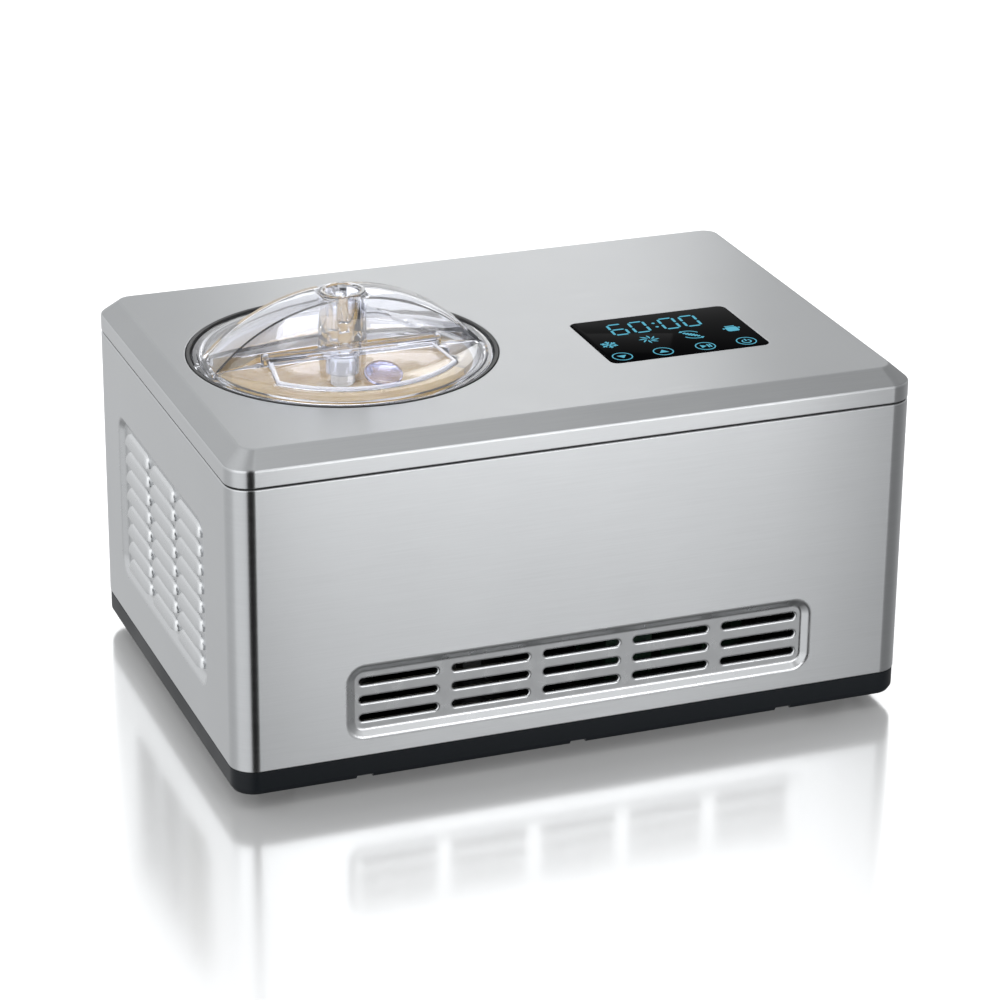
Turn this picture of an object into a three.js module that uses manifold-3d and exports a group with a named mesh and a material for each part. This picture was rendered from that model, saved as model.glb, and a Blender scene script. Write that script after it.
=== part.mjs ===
// Self-refrigerating ice cream maker, with its cooling circuit, stirring drive and removable bowl.
// Millimetres, +Z up, front towards -Y. The origin is the centre of the footprint, on the surface
// that the feet stand on. Needs the npm packages three and manifold-3d.
import * as THREE from 'three';
import { mergeVertices } from 'three/addons/utils/BufferGeometryUtils.js';
import Module from 'manifold-3d';

const wasm = await Module();
wasm.setup();

// ---- Driving sizes -------------------------------------------------------------------------

const gap = 0.3; // between pieces that touch
const play = 0.8; // between pieces that move past each other

// Housing
const width = 425;
const depth = 290;
const cornerRadius = 15;
const sheet = 1.2; // stainless sheet of the wrap and the cover
const wrapHeight = 176.2;
const seam = 1; // dark line between the wrap and the cover
const coverSide = 10.4; // upright edge of the cover
const chamferRise = 9.3;
const chamferInset = 10.7;
const rearReturn = 32; // from each side of the wrap to its rear window
const rearMargin = 12; // wrap above and below its rear window
const rearOverlap = 4.5; // how far the rear panel laps over the window's edges
const gasketLip = 6; // how far the gasket reaches down inside the wrap and up inside the cover

// Base and feet
const footDrop = 9; // how far the feet hold the base above the table
const rimHeight = 2.7;
const rimInset = 2.2;
const bandHeight = 12.3;
const bandInset = 0.4;
const trayWall = 3;
const trayFloor = 2.5;
const trayLip = 7; // how far the tray reaches up inside the wrap
const footRadius = 12;
const footInset = 34; // from the sides of the footprint to a foot's axis
const footScrewRadius = 2;
const rimNotch = { width: 10, depth: 1.3, count: 3, pitch: 134 };

// Vents: floor of the pressed dish, its depth and sloping border, and its slots
const frontVent = {
  x: 2, z: 34.6, width: 284, height: 37, radius: 6, recess: 3, border: 4.4,
  columns: 5, rows: 3, slotLength: 48, slotHeight: 4, pitchX: 57.2, pitchZ: 11.6, roundEnds: true,
};
const sideVent = {
  x: 5, z: 82, width: 176, height: 96, radius: 7, recess: 3, border: 5,
  columns: 3, rows: 8, slotLength: 47, slotHeight: 4, pitchX: 55.3, pitchZ: 12, hood: 2.7,
};
const rearVent = {
  z: 102,
  columns: 2, rows: 7, slotLength: 90, slotHeight: 4, pitchX: 116, pitchZ: 12,
};
const rearPanelSheet = 1.5;
const rearScrewRadius = 2;

// Bowl and its lid, all on the bowl's axis
const bowlRadius = 79; // inside
const bowlDepth = 105;
const bowlWall = 1.5;
const bowlRim = 6; // flange that the bowl hangs by
const rimDrop = 8.5; // top of the bowl's rim below the deck
const bowlY = -2;
const chimneyHeight = 40; // sleeve that lets the drive shaft into the bowl
const lidOverhang = 11; // lid flange beyond the inside of the bowl
const lidWall = 2.4;
const lidFlange = 3.1; // flat ring at the lid's edge
const lidRise = 6.5; // height of the shallow dome
const lidSeat = -3.3; // ledge of the collar that the lid rests on, from the deck
const domeStep = 1.4; // from the flange up to the dome's edge
const bridgeWidth = 28;
const bridgeHeight = 38.2; // top of the handle bridge above the deck
const bridgeMargin = 2.3; // from the bridge's ends to the dome's edge
const bridgeWall = 2;
const socketDepth = 14; // how far the lid's tube reaches below the deck
const tubeBore = 10.5;
const flapHalfWidth = 52;
const flapCorner = 47; // how far in front of the axis its sides have splayed that much
const flapSplay = 4; // how much wider the flap is at those corners
const flapMargin = 13.9; // from its curved front edge to the dome's edge
const flapHinge = 17.6; // hinge line in front of the bowl's axis
const flapTabRadius = 11.3;
const hingeRadius = 1.9;
const hingePinRadius = 1.1;
const hingeEar = 3;

// Collar around the bowl
const collarNeck = 2.4;
const collarFlange = 5.6;
const collarGap = 1; // between the lid's edge and the collar

// Evaporator and its insulation
const wellPlay = 0.6;
const wellWall = 1.5;
const coilRadius = 4;
const coilTurns = 5;
const coilPitch = 15;
const coilSteps = 24; // straight steps in each turn
const coilTop = 26; // highest turn below the deck
const foamWall = 12;
const foamToSide = 9; // insulation to the outside of the housing

// Stirring drive
const shaftRadius = 5;
const hexRadius = 4.4;
const stemRadius = 7.2;
const hubRadius = 12;
const bladeThickness = 3;
const bladeBar = 11;
const bladeTop = 40; // top of the blades below the deck
const gearModule = 1.5;
const outputTeeth = 40;
const pinionTeeth = 10;
const gearThickness = 8;
const pinionShaftRadius = 2.5;
const toothPlay = 0.28;
const pressureAngle = 25 * Math.PI / 180;
const gearCaseWall = 2.5;
const gearCaseHeight = 24;
const motorRadius = 24;
const motorHeight = 36;
const bracketSheet = 2;

// Cooling circuit
const compressorRadius = 45;
const compressorHeight = 118;
const compressorToRear = 30;
const terminalReach = 9; // how far its terminal cover stands out from its shell
const mountRadius = 8;
const mountHeight = 10;
const fanSize = 110;
const fanDepth = 25;
const fanBore = 51;
const fanHub = 17;
const fanBladeCount = 5;
const condenser = { thick: 22, length: 170, height: 150, fins: 22, fin: 2, plate: 7 };
const pipeRadius = 3;
const drierRadius = 9;
const drierLength = 60;

// Display, electronics and mains inlet
const glass = { width: 102.7, height: 71.9, thick: 3, radius: 5, toRight: 64.3, toFront: 68.4 };
const displayBoard = { width: 94, height: 63, thick: 1.6, drop: 6 };
const controlBoard = { width: 110, height: 70, thick: 1.6 };
const inlet = { width: 31, height: 27, depth: 22, wall: 3, x: 150, z: 36, pin: 2.2 };

// ---- Levels and places worked out from them --------------------------------------------------

const wrapZ = footDrop + rimHeight + bandHeight;
const coverZ = wrapZ + wrapHeight + seam;
const deckZ = coverZ + coverSide + chamferRise;
const trayTop = footDrop + trayFloor; // upper face of the tray's floor

const lidRadius = bowlRadius + lidOverhang;
const lidBase = lidSeat + gap; // underside of the lid's flange
const domeEdge = lidRadius - lidFlange;
const domeBase = lidBase + lidWall + domeStep; // top of the dome at its edge
const bridgeFoot = domeBase - lidWall / 2;
const bridgeSpan = domeEdge - bridgeMargin; // half its length at its foot
const bridgeRise = bridgeHeight - bridgeFoot;
const bridgeRadius = (bridgeSpan ** 2 + bridgeRise ** 2) / (2 * bridgeRise);
const flapRadius = domeEdge - flapMargin;
const collarInner = lidRadius + collarGap;
const collarOuter = collarInner + collarNeck;
const ledgeInner = bowlRadius + bowlWall + bowlRim - 0.5; // the bowl's rim passes through it with play
const bowlRimRadius = ledgeInner - play;
const bowlFloor = -rimDrop - bowlDepth;
const wellRadius = bowlRadius + bowlWall + wellPlay;
const wellTop = -rimDrop - bowlWall - gap;
const wellFloor = bowlFloor - bowlWall - wellPlay;
const wellFlangeRadius = ledgeInner + 2;
const coilCentre = (wellRadius + wellWall + gap + coilRadius) / Math.cos(Math.PI / coilSteps);
const foamInner = coilCentre + coilRadius + 3 * gap;
const foamOuter = foamInner + foamWall;
const foamTop = wellTop - wellWall - gap;
const foamFloor = wellFloor - wellWall - gap - foamWall;
const bowlX = -width / 2 + foamToSide + foamOuter;

const gearCentres = gearModule * (outputTeeth + pinionTeeth) / 2;
const bracketTop = trayTop + gap + motorHeight + gap + bracketSheet;
const gearCaseFloor = bracketTop + gap;
const outputGearZ = gearCaseFloor + gearCaseWall + 3;

const compressorX = bowlX + foamOuter + 8 + compressorRadius;
const compressorY = depth / 2 - compressorToRear - compressorRadius;
const compressorZ = trayTop + gap + mountHeight + gap;
const fanX = width / 2 - sheet - sideVent.recess - 2.3 - fanDepth;
const fanZ = wrapZ + sideVent.z;
const condenserX = fanX - 3 - condenser.thick;

// ---- Solids ----------------------------------------------------------------------------------

function solid(geometry) {
  const bare = new THREE.BufferGeometry().setAttribute('position', geometry.getAttribute('position'));
  if (geometry.index) bare.setIndex(geometry.index);
  const merged = mergeVertices(bare, 1e-4);
  return new wasm.Manifold(new wasm.Mesh({
    numProp: 3,
    vertProperties: merged.getAttribute('position').array,
    triVerts: new Uint32Array(merged.index.array),
  }));
}

const join = (first, ...rest) => rest.reduce((made, other) => made.add(other), first);
const cut = (first, ...tools) => tools.reduce((made, tool) => made.subtract(tool), first);

function box(x0, x1, y0, y1, z0, z1) {
  const made = new THREE.BoxGeometry(x1 - x0, y1 - y0, z1 - z0);
  return solid(made.translate((x0 + x1) / 2, (y0 + y1) / 2, (z0 + z1) / 2));
}

function cylinder(radius, z0, z1, x = 0, y = 0, sides = 24) {
  const made = new THREE.CylinderGeometry(radius, radius, z1 - z0, sides);
  return solid(made.rotateX(Math.PI / 2).translate(x, y, (z0 + z1) / 2));
}

// A solid of revolution about Z from a closed outline of [radius, height] points.
function lathe(outline, sides = 48) {
  const points = outline.map(([r, z]) => new THREE.Vector2(r, z));
  if (THREE.ShapeUtils.isClockWise(points)) points.reverse();
  const before = (i) => points[(i + points.length - 1) % points.length];
  const onAxis = points.findIndex((p, i) => p.x === 0 && before(i).x === 0);
  if (onAxis >= 0) points.push(...points.splice(0, onAxis));
  else points.push(points[0].clone());
  return solid(new THREE.LatheGeometry(points, sides).rotateX(Math.PI / 2));
}

function extrude(shape, z0, z1, curveSegments = 3) {
  const made = new THREE.ExtrudeGeometry(shape, { depth: z1 - z0, bevelEnabled: false, curveSegments });
  return solid(made.translate(0, 0, z0));
}

// The shape stands upright, its x along X and its y along Z, from y0 back to y1.
function extrudeBack(shape, y0, y1, curveSegments = 3) {
  const made = new THREE.ExtrudeGeometry(shape, { depth: y1 - y0, bevelEnabled: false, curveSegments });
  return solid(made.rotateX(Math.PI / 2).translate(0, y1, 0));
}

function tube(points, radius, steps, sides = 8) {
  const section = new THREE.Shape().absarc(0, 0, radius, 0, 2 * Math.PI);
  const path = new THREE.CatmullRomCurve3(points.map((p) => new THREE.Vector3(...p)));
  const settings = { steps, bevelEnabled: false, extrudePath: path, curveSegments: sides / 2 };
  return solid(new THREE.ExtrudeGeometry(section, settings));
}

function roundedRect(w, h, radius, cx = 0, cy = 0) {
  const x = w / 2 - radius;
  const y = h / 2 - radius;
  return new THREE.Shape()
    .absarc(cx + x, cy - y, radius, -Math.PI / 2, 0)
    .absarc(cx + x, cy + y, radius, 0, Math.PI / 2)
    .absarc(cx - x, cy + y, radius, Math.PI / 2, Math.PI)
    .absarc(cx - x, cy - y, radius, Math.PI, 1.5 * Math.PI);
}

function outline(points) {
  return new THREE.Shape(points.map(([x, y]) => new THREE.Vector2(x, y)));
}

// An upright rounded tube of the footprint's shape, inset from it, with a wall of its own.
function footprintRing(inset, wall, z0, z1) {
  const outer = footprint(inset, z0, z1);
  return cut(outer, footprint(inset + wall, z0 - 1, z1 + 1));
}

function footprint(inset, z0, z1) {
  const radius = Math.max(cornerRadius - inset, 1);
  return extrude(roundedRect(width - 2 * inset, depth - 2 * inset, radius), z0, z1);
}

const corners = [[-1, -1], [1, -1], [-1, 1], [1, 1]];

// ---- Scene graph -----------------------------------------------------------------------------

const metal = (color, roughness) => finish(color, roughness, 1);
const plastic = (color, roughness) => finish(color, roughness, 0);

function finish(color, roughness, metalness) {
  return new THREE.MeshStandardMaterial({ color, roughness, metalness, flatShading: true });
}

const steel = metal(0xb9bcc0, 0.32);
const aluminium = metal(0xc4c6c8, 0.4);
const copper = metal(0xb87346, 0.35);
const blackPlastic = plastic(0x1c2023, 0.5);
const rubber = plastic(0x141516, 0.85);
const clear = plastic(0xe8eef2, 0.05);
const glossBlack = plastic(0x050506, 0.05);
const foam = plastic(0xd9d3bd, 0.9);
const whitePlastic = plastic(0xe6e7e4, 0.4);
const circuitGreen = plastic(0x1d5a3a, 0.5);
const blackPaint = metal(0x17181a, 0.45);

function add(parent, name, shape, material, x = 0, y = 0, z = 0) {
  const { vertProperties, triVerts } = shape.getMesh();
  const geometry = new THREE.BufferGeometry()
    .setAttribute('position', new THREE.BufferAttribute(vertProperties, 3))
    .setIndex(new THREE.BufferAttribute(triVerts, 1));
  const mesh = new THREE.Mesh(geometry, material);
  mesh.name = name;
  mesh.position.set(x, y, z);
  parent.add(mesh);
}

function group(parent, x, y, z) {
  const made = new THREE.Group();
  made.position.set(x, y, z);
  parent.add(made);
  return made;
}

const iceCreamMaker = new THREE.Group();

// ---- Housing ---------------------------------------------------------------------------------

// A dish pressed into a wall that faces -Y: its opening lies on y = 0 and its floor behind that.
function dish(vent, grow) {
  const floor = roundedRect(vent.width + 2 * grow, vent.height + 2 * grow, vent.radius + grow);
  return new THREE.ExtrudeGeometry(floor, {
    depth: vent.border, bevelThickness: vent.recess + grow, bevelSize: vent.border, bevelSegments: 1,
    curveSegments: 2,
  }).rotateX(Math.PI / 2);
}

function slotCentres(vent) {
  const centres = [];
  for (let i = 0; i < vent.columns; i++) {
    for (let j = 0; j < vent.rows; j++) {
      centres.push([(i - (vent.columns - 1) / 2) * vent.pitchX, (j - (vent.rows - 1) / 2) * vent.pitchZ]);
    }
  }
  return centres;
}

// A slot with round ends, or a plain one.
function slotShape(vent, x, z) {
  const half = vent.slotLength / 2;
  const tall = vent.slotHeight / 2;
  if (vent.roundEnds) return roundedRect(vent.slotLength, vent.slotHeight, tall - 0.05, x, z);
  return outline([
    [x - half + 1, z - tall], [x + half - 1, z - tall], [x + half - 1, z + tall],
    [x - half + 1, z + tall],
  ]);
}

function slotTool(vent, x, z) {
  const shape = slotShape(vent, x, z);
  const made = new THREE.ExtrudeGeometry(shape, { depth: 4 * sheet, bevelEnabled: false,
    curveSegments: 1 });
  return made.rotateX(Math.PI / 2).translate(0, vent.recess + 2.5 * sheet, 0);
}

// A hood over a slot: a strip that leaves the dish's floor above the slot and leans out over it.
function hood(vent, x, z) {
  const top = z + vent.slotHeight / 2 + 0.6;
  const foot = z - vent.slotHeight / 2;
  const back = vent.recess + sheet / 2;
  const front = vent.recess - vent.hood;
  const section = outline([[back, top + sheet], [front, foot], [front + sheet, foot], [back, top]]);
  const made = new THREE.ExtrudeGeometry(section, { depth: vent.slotLength, bevelEnabled: false });
  return made.rotateX(Math.PI / 2).rotateZ(Math.PI / 2).translate(x - vent.slotLength / 2, 0, 0);
}

// Presses a vent into a wall. The vent faces -Y before it is turned about Z and put in its place.
function pressVent(wall, block, vent, turn, x, y) {
  const put = (geometry) => solid(geometry.rotateZ(turn).translate(x, y, vent.z));
  let made = join(wall, put(dish(vent, sheet)).intersect(block));
  made = cut(made, put(dish(vent, 0)));
  for (const [u, v] of slotCentres(vent)) {
    made = cut(made, put(slotTool(vent, u, v)));
    if (vent.hood) made = join(made, put(hood(vent, u, v)));
  }
  return made;
}

function housingWrap() {
  const block = footprint(0, 0, wrapHeight);
  let made = footprintRing(0, sheet, 0, wrapHeight);
  const opening = width / 2 - rearReturn;
  const window = box(-opening, opening, depth / 2 - 2 * sheet, depth / 2 + 1, rearMargin,
    wrapHeight - rearMargin);
  made = cut(made, window);
  made = pressVent(made, block, frontVent, 0, frontVent.x, -depth / 2);
  made = pressVent(made, block, sideVent, -Math.PI / 2, -width / 2, sideVent.x);
  made = pressVent(made, block, sideVent, Math.PI / 2, width / 2, sideVent.x);
  return cut(made, ...rearScrewPlaces().map(([x, z]) => rearScrewHole(x, z)));
}

function rearScrewPlaces() {
  const x = width / 2 - rearReturn + 8;
  const z = 2 * rearMargin;
  return [[-x, z], [x, z], [-x, wrapHeight - z], [x, wrapHeight - z]];
}

function rearScrewHole(x, z) {
  return solid(rearScrew(gap, 9).translate(x, depth / 2, z));
}

function rearPanel() {
  const back = depth / 2 - sheet - gap;
  const half = width / 2 - rearReturn + 18;
  const tall = wrapHeight - 2 * (rearMargin - rearOverlap);
  const shape = roundedRect(2 * half, tall, 4, 0, wrapHeight / 2);
  let made = extrudeBack(shape, back - rearPanelSheet, back);
  for (const [x, z] of slotCentres(rearVent)) {
    const slot = slotShape(rearVent, x, z + rearVent.z);
    made = cut(made, extrudeBack(slot, back - 5, back + 2, 1));
  }
  const window = roundedRect(inlet.width + 2 * gap, inlet.height + 2 * gap, 2, inlet.x, inlet.z);
  made = cut(made, extrudeBack(window, back - 5, back + 2, 2));
  return cut(made, ...rearScrewPlaces().map(([x, z]) => rearScrewHole(x, z)));
}

// Countersunk screw along Y, its head flush with y = 0 and its shank running forward from it.
function rearScrew(grow = 0, length = 7) {
  const head = rearScrewRadius * 1.9 + 2 * grow;
  const shank = rearScrewRadius + grow;
  const points = [[0, -length], [shank, -length], [shank, -sheet], [head, grow], [0, grow]];
  return new THREE.LatheGeometry(points.map(([r, y]) => new THREE.Vector2(r, y)), 12);
}

function topCover() {
  const bevel = (inset, rise, grow) => new THREE.ExtrudeGeometry(
    roundedRect(width - 2 * inset, depth - 2 * inset, Math.max(cornerRadius - inset, 1)),
    { depth: 2 * coverSide, bevelThickness: rise, bevelSize: grow, bevelSegments: 1, curveSegments: 3 },
  ).translate(0, 0, -coverSide);
  const skin = sheet * 0.4; // how far the inner face's deck corner steps in, for an even wall on the slope
  const outer = solid(bevel(chamferInset, chamferRise, chamferInset));
  const inner = solid(bevel(chamferInset + skin, chamferRise - sheet, chamferInset + skin - sheet));
  const deck = coverSide + chamferRise;
  const display = displayPlace();
  const windowShape = roundedRect(glass.width + 2 * gap, glass.height + 2 * gap, glass.radius,
    display.x, display.y);
  return cut(
    outer, inner, box(-width, width, -depth, depth, -60, 0),
    cylinder(collarOuter + gap, 0, deck + 1, bowlX, bowlY, 40),
    extrude(windowShape, 0, deck + 1, 4),
  );
}

// A strip with a lip inside, which locates the cover on the wrap and closes the joint.
function coverGasket() {
  return join(footprintRing(0.7, 5, gap, seam - gap), footprintRing(sheet + 0.6, 2.4, -gasketLip,
    gasketLip));
}

function baseTray() {
  const top = rimHeight + bandHeight - gap;
  const radius = Math.max(cornerRadius - bandInset - rimInset, 1);
  const low = roundedRect(width - 2 * bandInset - 2 * rimInset, depth - 2 * bandInset - 2 * rimInset,
    radius);
  const rim = new THREE.ExtrudeGeometry(low, {
    depth: bandHeight, bevelThickness: rimHeight, bevelSize: rimInset, bevelSegments: 1, curveSegments: 3,
  }).translate(0, 0, rimHeight);
  let made = cut(solid(rim), box(-width, width, -depth, depth, top, top + 40));
  made = cut(made, footprint(bandInset + trayWall, trayFloor, top + 1));
  const lip = footprintRing(sheet + gap, trayWall + bandInset - sheet - gap + 1.6, trayFloor + 1,
    top + trayLip);
  made = join(made, lip);
  for (let i = 0; i < rimNotch.count; i++) {
    const x = (i - (rimNotch.count - 1) / 2) * rimNotch.pitch;
    const half = rimNotch.width / 2;
    made = cut(made, box(x - half, x + half, -depth / 2 - 1, -depth / 2 + 6, -1, rimNotch.depth));
  }
  for (const [x, y] of footPlaces()) made = cut(made, cylinder(footScrewRadius + gap, -1, trayFloor + 1,
    x, y, 12));
  for (let i = -2; i <= 2; i++) made = cut(made, box(20, 90, i * 14 - 3, i * 14 + 3, -1, trayFloor + 1));
  return made;
}

function footPlaces() {
  return corners.map(([i, j]) => [i * (width / 2 - footInset), j * (depth / 2 - footInset)]);
}

function foot() {
  const recess = 4;
  const top = footDrop - gap;
  return lathe([
    [footScrewRadius + gap, recess], [footScrewRadius * 2 + 0.6, recess],
    [footScrewRadius * 2 + 0.6, 0], [footRadius - 1.2, 0], [footRadius, 1.2], [footRadius - 1, top],
    [footScrewRadius + gap, top],
  ], 16);
}

function footScrew() {
  const head = footScrewRadius * 2;
  return lathe([
    [0, 1.5], [head, 1.5], [head, 3.6], [footScrewRadius, 3.6], [footScrewRadius, trayTop + 4],
    [0, trayTop + 4],
  ], 8);
}

function addHousing(parent) {
  add(parent, 'housing_wrap', housingWrap(), steel, 0, 0, wrapZ);
  add(parent, 'rear_panel', rearPanel(), steel, 0, 0, wrapZ);
  add(parent, 'top_cover', topCover(), steel, 0, 0, coverZ);
  add(parent, 'cover_gasket', coverGasket(), rubber, 0, 0, coverZ - seam);
  add(parent, 'base_tray', baseTray(), blackPlastic, 0, 0, footDrop);
  footPlaces().forEach(([x, y], i) => {
    add(parent, `foot_${i + 1}`, foot(), rubber, x, y, 0);
    add(parent, `foot_screw_${i + 1}`, footScrew(), steel, x, y, 0);
  });
  rearScrewPlaces().forEach(([x, z], i) => {
    add(parent, `rear_screw_${i + 1}`, solid(rearScrew()), blackPaint, x, depth / 2, wrapZ + z);
  });
}

// ---- Display, electronics and mains inlet ----------------------------------------------------

function displayPlace() {
  return {
    x: width / 2 - glass.toRight - glass.width / 2,
    y: -depth / 2 + glass.toFront + glass.height / 2,
  };
}

function displayGlass() {
  return extrude(roundedRect(glass.width, glass.height, glass.radius - gap), gap - glass.thick, gap, 4);
}

// A tray under the deck that carries the glass on a ledge and the board below it.
function displayFrame() {
  const floor = -glass.thick - displayBoard.drop - displayBoard.thick - gap;
  const outerShape = roundedRect(glass.width + 12, glass.height + 12, glass.radius + 4);
  let made = extrude(outerShape, floor - 2, -sheet - gap, 1);
  made = cut(made, extrude(roundedRect(glass.width + 2 * gap, glass.height + 2 * gap, glass.radius),
    -glass.thick - gap, 1, 2));
  const room = roundedRect(displayBoard.width + 2 * gap, displayBoard.height + 2 * gap, 2);
  made = cut(made, extrude(room, floor, 1, 1));
  return cut(made, box(-20, 20, -12, 12, floor - 3, floor + 1));
}

function displayBoardSolid() {
  const top = -glass.thick - displayBoard.drop;
  const board = extrude(roundedRect(displayBoard.width, displayBoard.height, 2),
    top - displayBoard.thick, top, 2);
  const digits = box(-30, 30, 6, 26, top - 0.1, top + displayBoard.drop - 1);
  const pads = [-40.5, -13.5, 13.5, 40.5].map((x) => cylinder(4, top - 0.1,
    top + displayBoard.drop - 0.6, x, -24, 12));
  return join(board, digits, ...pads);
}

function controlBoardSolid() {
  const { width: w, height: h, thick } = controlBoard;
  const board = box(-w / 2, w / 2, 0, thick, 0, h);
  const parts = [
    box(-45, -15, -22, 0.1, 12, 42), // transformer
    box(-5, 15, -14, 0.1, 10, 30), // relay
    box(24, 46, -10, 0.1, 14, 26), // terminal block
    box(-40, -10, -8, 0.1, 52, 62), // connector
  ];
  return join(board, ...parts);
}

function boardBracket() {
  const w = controlBoard.width / 2;
  const upright = box(-w, w, controlBoard.thick + gap, controlBoard.thick + gap + 1.5, -4,
    controlBoard.height);
  return join(upright, box(-w, w, controlBoard.thick + gap, 22, -5.5, -4 + 0.1));
}

// Three-pin mains socket that snaps into the rear panel, its mouth towards +Y.
function mainsInlet() {
  const { width: w, height: h, wall, pin } = inlet;
  const face = depth / 2 - 0.4;
  const shape = roundedRect(w, h, 1.5, 0, 0);
  const cavity = outline([
    [-w / 2 + wall, -h / 2 + wall], [w / 2 - wall, -h / 2 + wall], [w / 2 - wall, h / 2 - wall - 5],
    [w / 2 - wall - 5, h / 2 - wall], [-w / 2 + wall + 5, h / 2 - wall],
    [-w / 2 + wall, h / 2 - wall - 5],
  ]);
  const body = cut(extrudeBack(shape, face - inlet.depth, face, 1), extrudeBack(cavity,
    face - inlet.depth + 4, face + 1));
  const pins = [[-7, -5], [7, -5], [0, 4]].map(([x, z]) => (
    box(x - pin / 2, x + pin / 2, face - inlet.depth + 3, face - 4, z - pin, z + pin)));
  return join(body, ...pins);
}

function addElectronics(parent) {
  const { x, y } = displayPlace();
  const display = group(parent, x, y, deckZ);
  add(display, 'display_glass', displayGlass(), glossBlack);
  add(display, 'display_frame', displayFrame(), blackPlastic);
  add(display, 'display_board', displayBoardSolid(), circuitGreen);
  const control = group(parent, x - 20, -depth / 2 + 60, trayTop + gap + 5.5);
  add(control, 'control_board', controlBoardSolid(), circuitGreen);
  add(control, 'board_bracket', boardBracket(), aluminium);
  add(parent, 'mains_inlet', mainsInlet(), blackPlastic, inlet.x, 0, wrapZ + inlet.z);
}

// ---- Bowl, lid and paddle, in a frame on the bowl's axis at the deck's height ----------------

function collar() {
  const neckFoot = -rimDrop - bowlWall + 0.2;
  return lathe([
    [ledgeInner, neckFoot], [collarOuter - 1.4, neckFoot], [collarOuter - 1.4, -3.6],
    [collarOuter + collarFlange, -3.6], [collarOuter + collarFlange, -sheet - 0.4],
    [collarOuter, -sheet - 0.4], [collarOuter, 0.3], [collarInner, 0.3], [collarInner, lidSeat],
    [ledgeInner, lidSeat],
  ], 40);
}

// Top of the shallow dome at a distance from the axis.
function domeTop(r) {
  const radius = (domeEdge ** 2 + lidRise ** 2) / (2 * lidRise);
  return domeBase + lidRise - radius + Math.sqrt(radius ** 2 - r ** 2);
}

function domeShell() {
  const steps = 3;
  const radii = Array.from({ length: steps + 1 }, (_, i) => domeEdge * (1 - i / steps));
  const skirt = ledgeInner - 0.9;
  return lathe([
    [0, domeTop(0) - lidWall],
    ...radii.slice(1, -1).reverse().map((r) => [r, domeTop(r) - lidWall]),
    [skirt - lidWall, domeBase - lidWall], [skirt - lidWall, -rimDrop + 1], [skirt, -rimDrop + 1],
    [skirt, lidBase], [lidRadius, lidBase], [lidRadius, lidBase + lidWall],
    ...radii.map((r) => [r, domeTop(r)]),
  ], 40);
}

// Upright outline of the handle bridge: a segment of a circle that stands on the dome.
function bridgeShape(radius, foot) {
  const centre = bridgeHeight - bridgeRadius;
  const start = Math.asin((foot - centre) / radius);
  return new THREE.Shape().absarc(0, centre, radius, start, Math.PI - start);
}

// Outline of the refill flap seen from above, grown by a margin. Its straight sides run out to
// its curved front edge.
function flapShape(margin) {
  const half = flapHalfWidth + margin;
  const back = -flapHinge + hingeRadius + margin;
  const radius = flapRadius + margin;
  const slope = flapSplay / (flapCorner + back);
  const across = half + slope * back;
  const root = Math.sqrt((1 + slope ** 2) * radius ** 2 - across ** 2);
  const angle = Math.asin((root - across * slope) / (1 + slope ** 2) / radius);
  return new THREE.Shape()
    .moveTo(half, back)
    .lineTo(-half, back)
    .absarc(0, 0, radius, Math.PI + angle, 2 * Math.PI - angle);
}

function alongX(radius, x0, x1, y, z, sides = 12) {
  const made = new THREE.CylinderGeometry(radius, radius, x1 - x0, sides);
  return solid(made.rotateZ(Math.PI / 2).translate((x0 + x1) / 2, y, z));
}

const hingeZ = domeTop(flapHinge) + hingeRadius - lidWall * 0.3;

function lid() {
  const half = bridgeWidth / 2;
  const shell = domeShell();
  const inside = bridgeShape(bridgeRadius - bridgeWall, lidBase - 12);
  const socketOuter = stemRadius + 0.6 + 2.4;
  const tubeOutline = [
    [tubeBore, domeBase + lidRise + 1], [tubeBore, bridgeHeight + 0.5], [half, bridgeHeight + 0.5],
    [half, domeBase], [socketOuter, domeBase - 4], [socketOuter, -socketDepth],
    [stemRadius + 0.6, -socketDepth], [stemRadius + 0.6, domeBase + lidRise - 2],
  ];
  const bore = lathe([
    [0, -socketDepth - 20], [stemRadius + 0.6, -socketDepth - 20],
    [stemRadius + 0.6, domeBase + lidRise - 2], [tubeBore, domeBase + lidRise + 1],
    [tubeBore, bridgeHeight + 9], [0, bridgeHeight + 9],
  ], 32);
  let made = join(shell, extrudeBack(bridgeShape(bridgeRadius, bridgeFoot), -half, half, 10));
  made = cut(made, extrudeBack(inside, -half + bridgeWall, half - bridgeWall, 10));
  made = cut(join(made, lathe(tubeOutline, 32)), bore);
  made = cut(made, extrude(flapShape(gap), -rimDrop, domeBase + lidRise + 4, 9));
  const barrelRoom = hingeRadius + play;
  const reach = flapHalfWidth + gap;
  made = cut(made, alongX(barrelRoom, -reach, reach, -flapHinge, hingeZ, 16));
  for (const side of [-1, 1]) {
    const x0 = side * (reach + hingeEar / 2);
    const low = domeTop(reach + flapHinge) - lidWall / 2;
    const ear = box(x0 - hingeEar / 2, x0 + hingeEar / 2, -flapHinge - 2.6, -half - 0.2 + bridgeWall,
      low, hingeZ + 2.4);
    made = cut(join(made, ear), alongX(hingePinRadius + gap, x0 - 4, x0 + 4, -flapHinge, hingeZ, 16));
  }
  return made;
}

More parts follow.
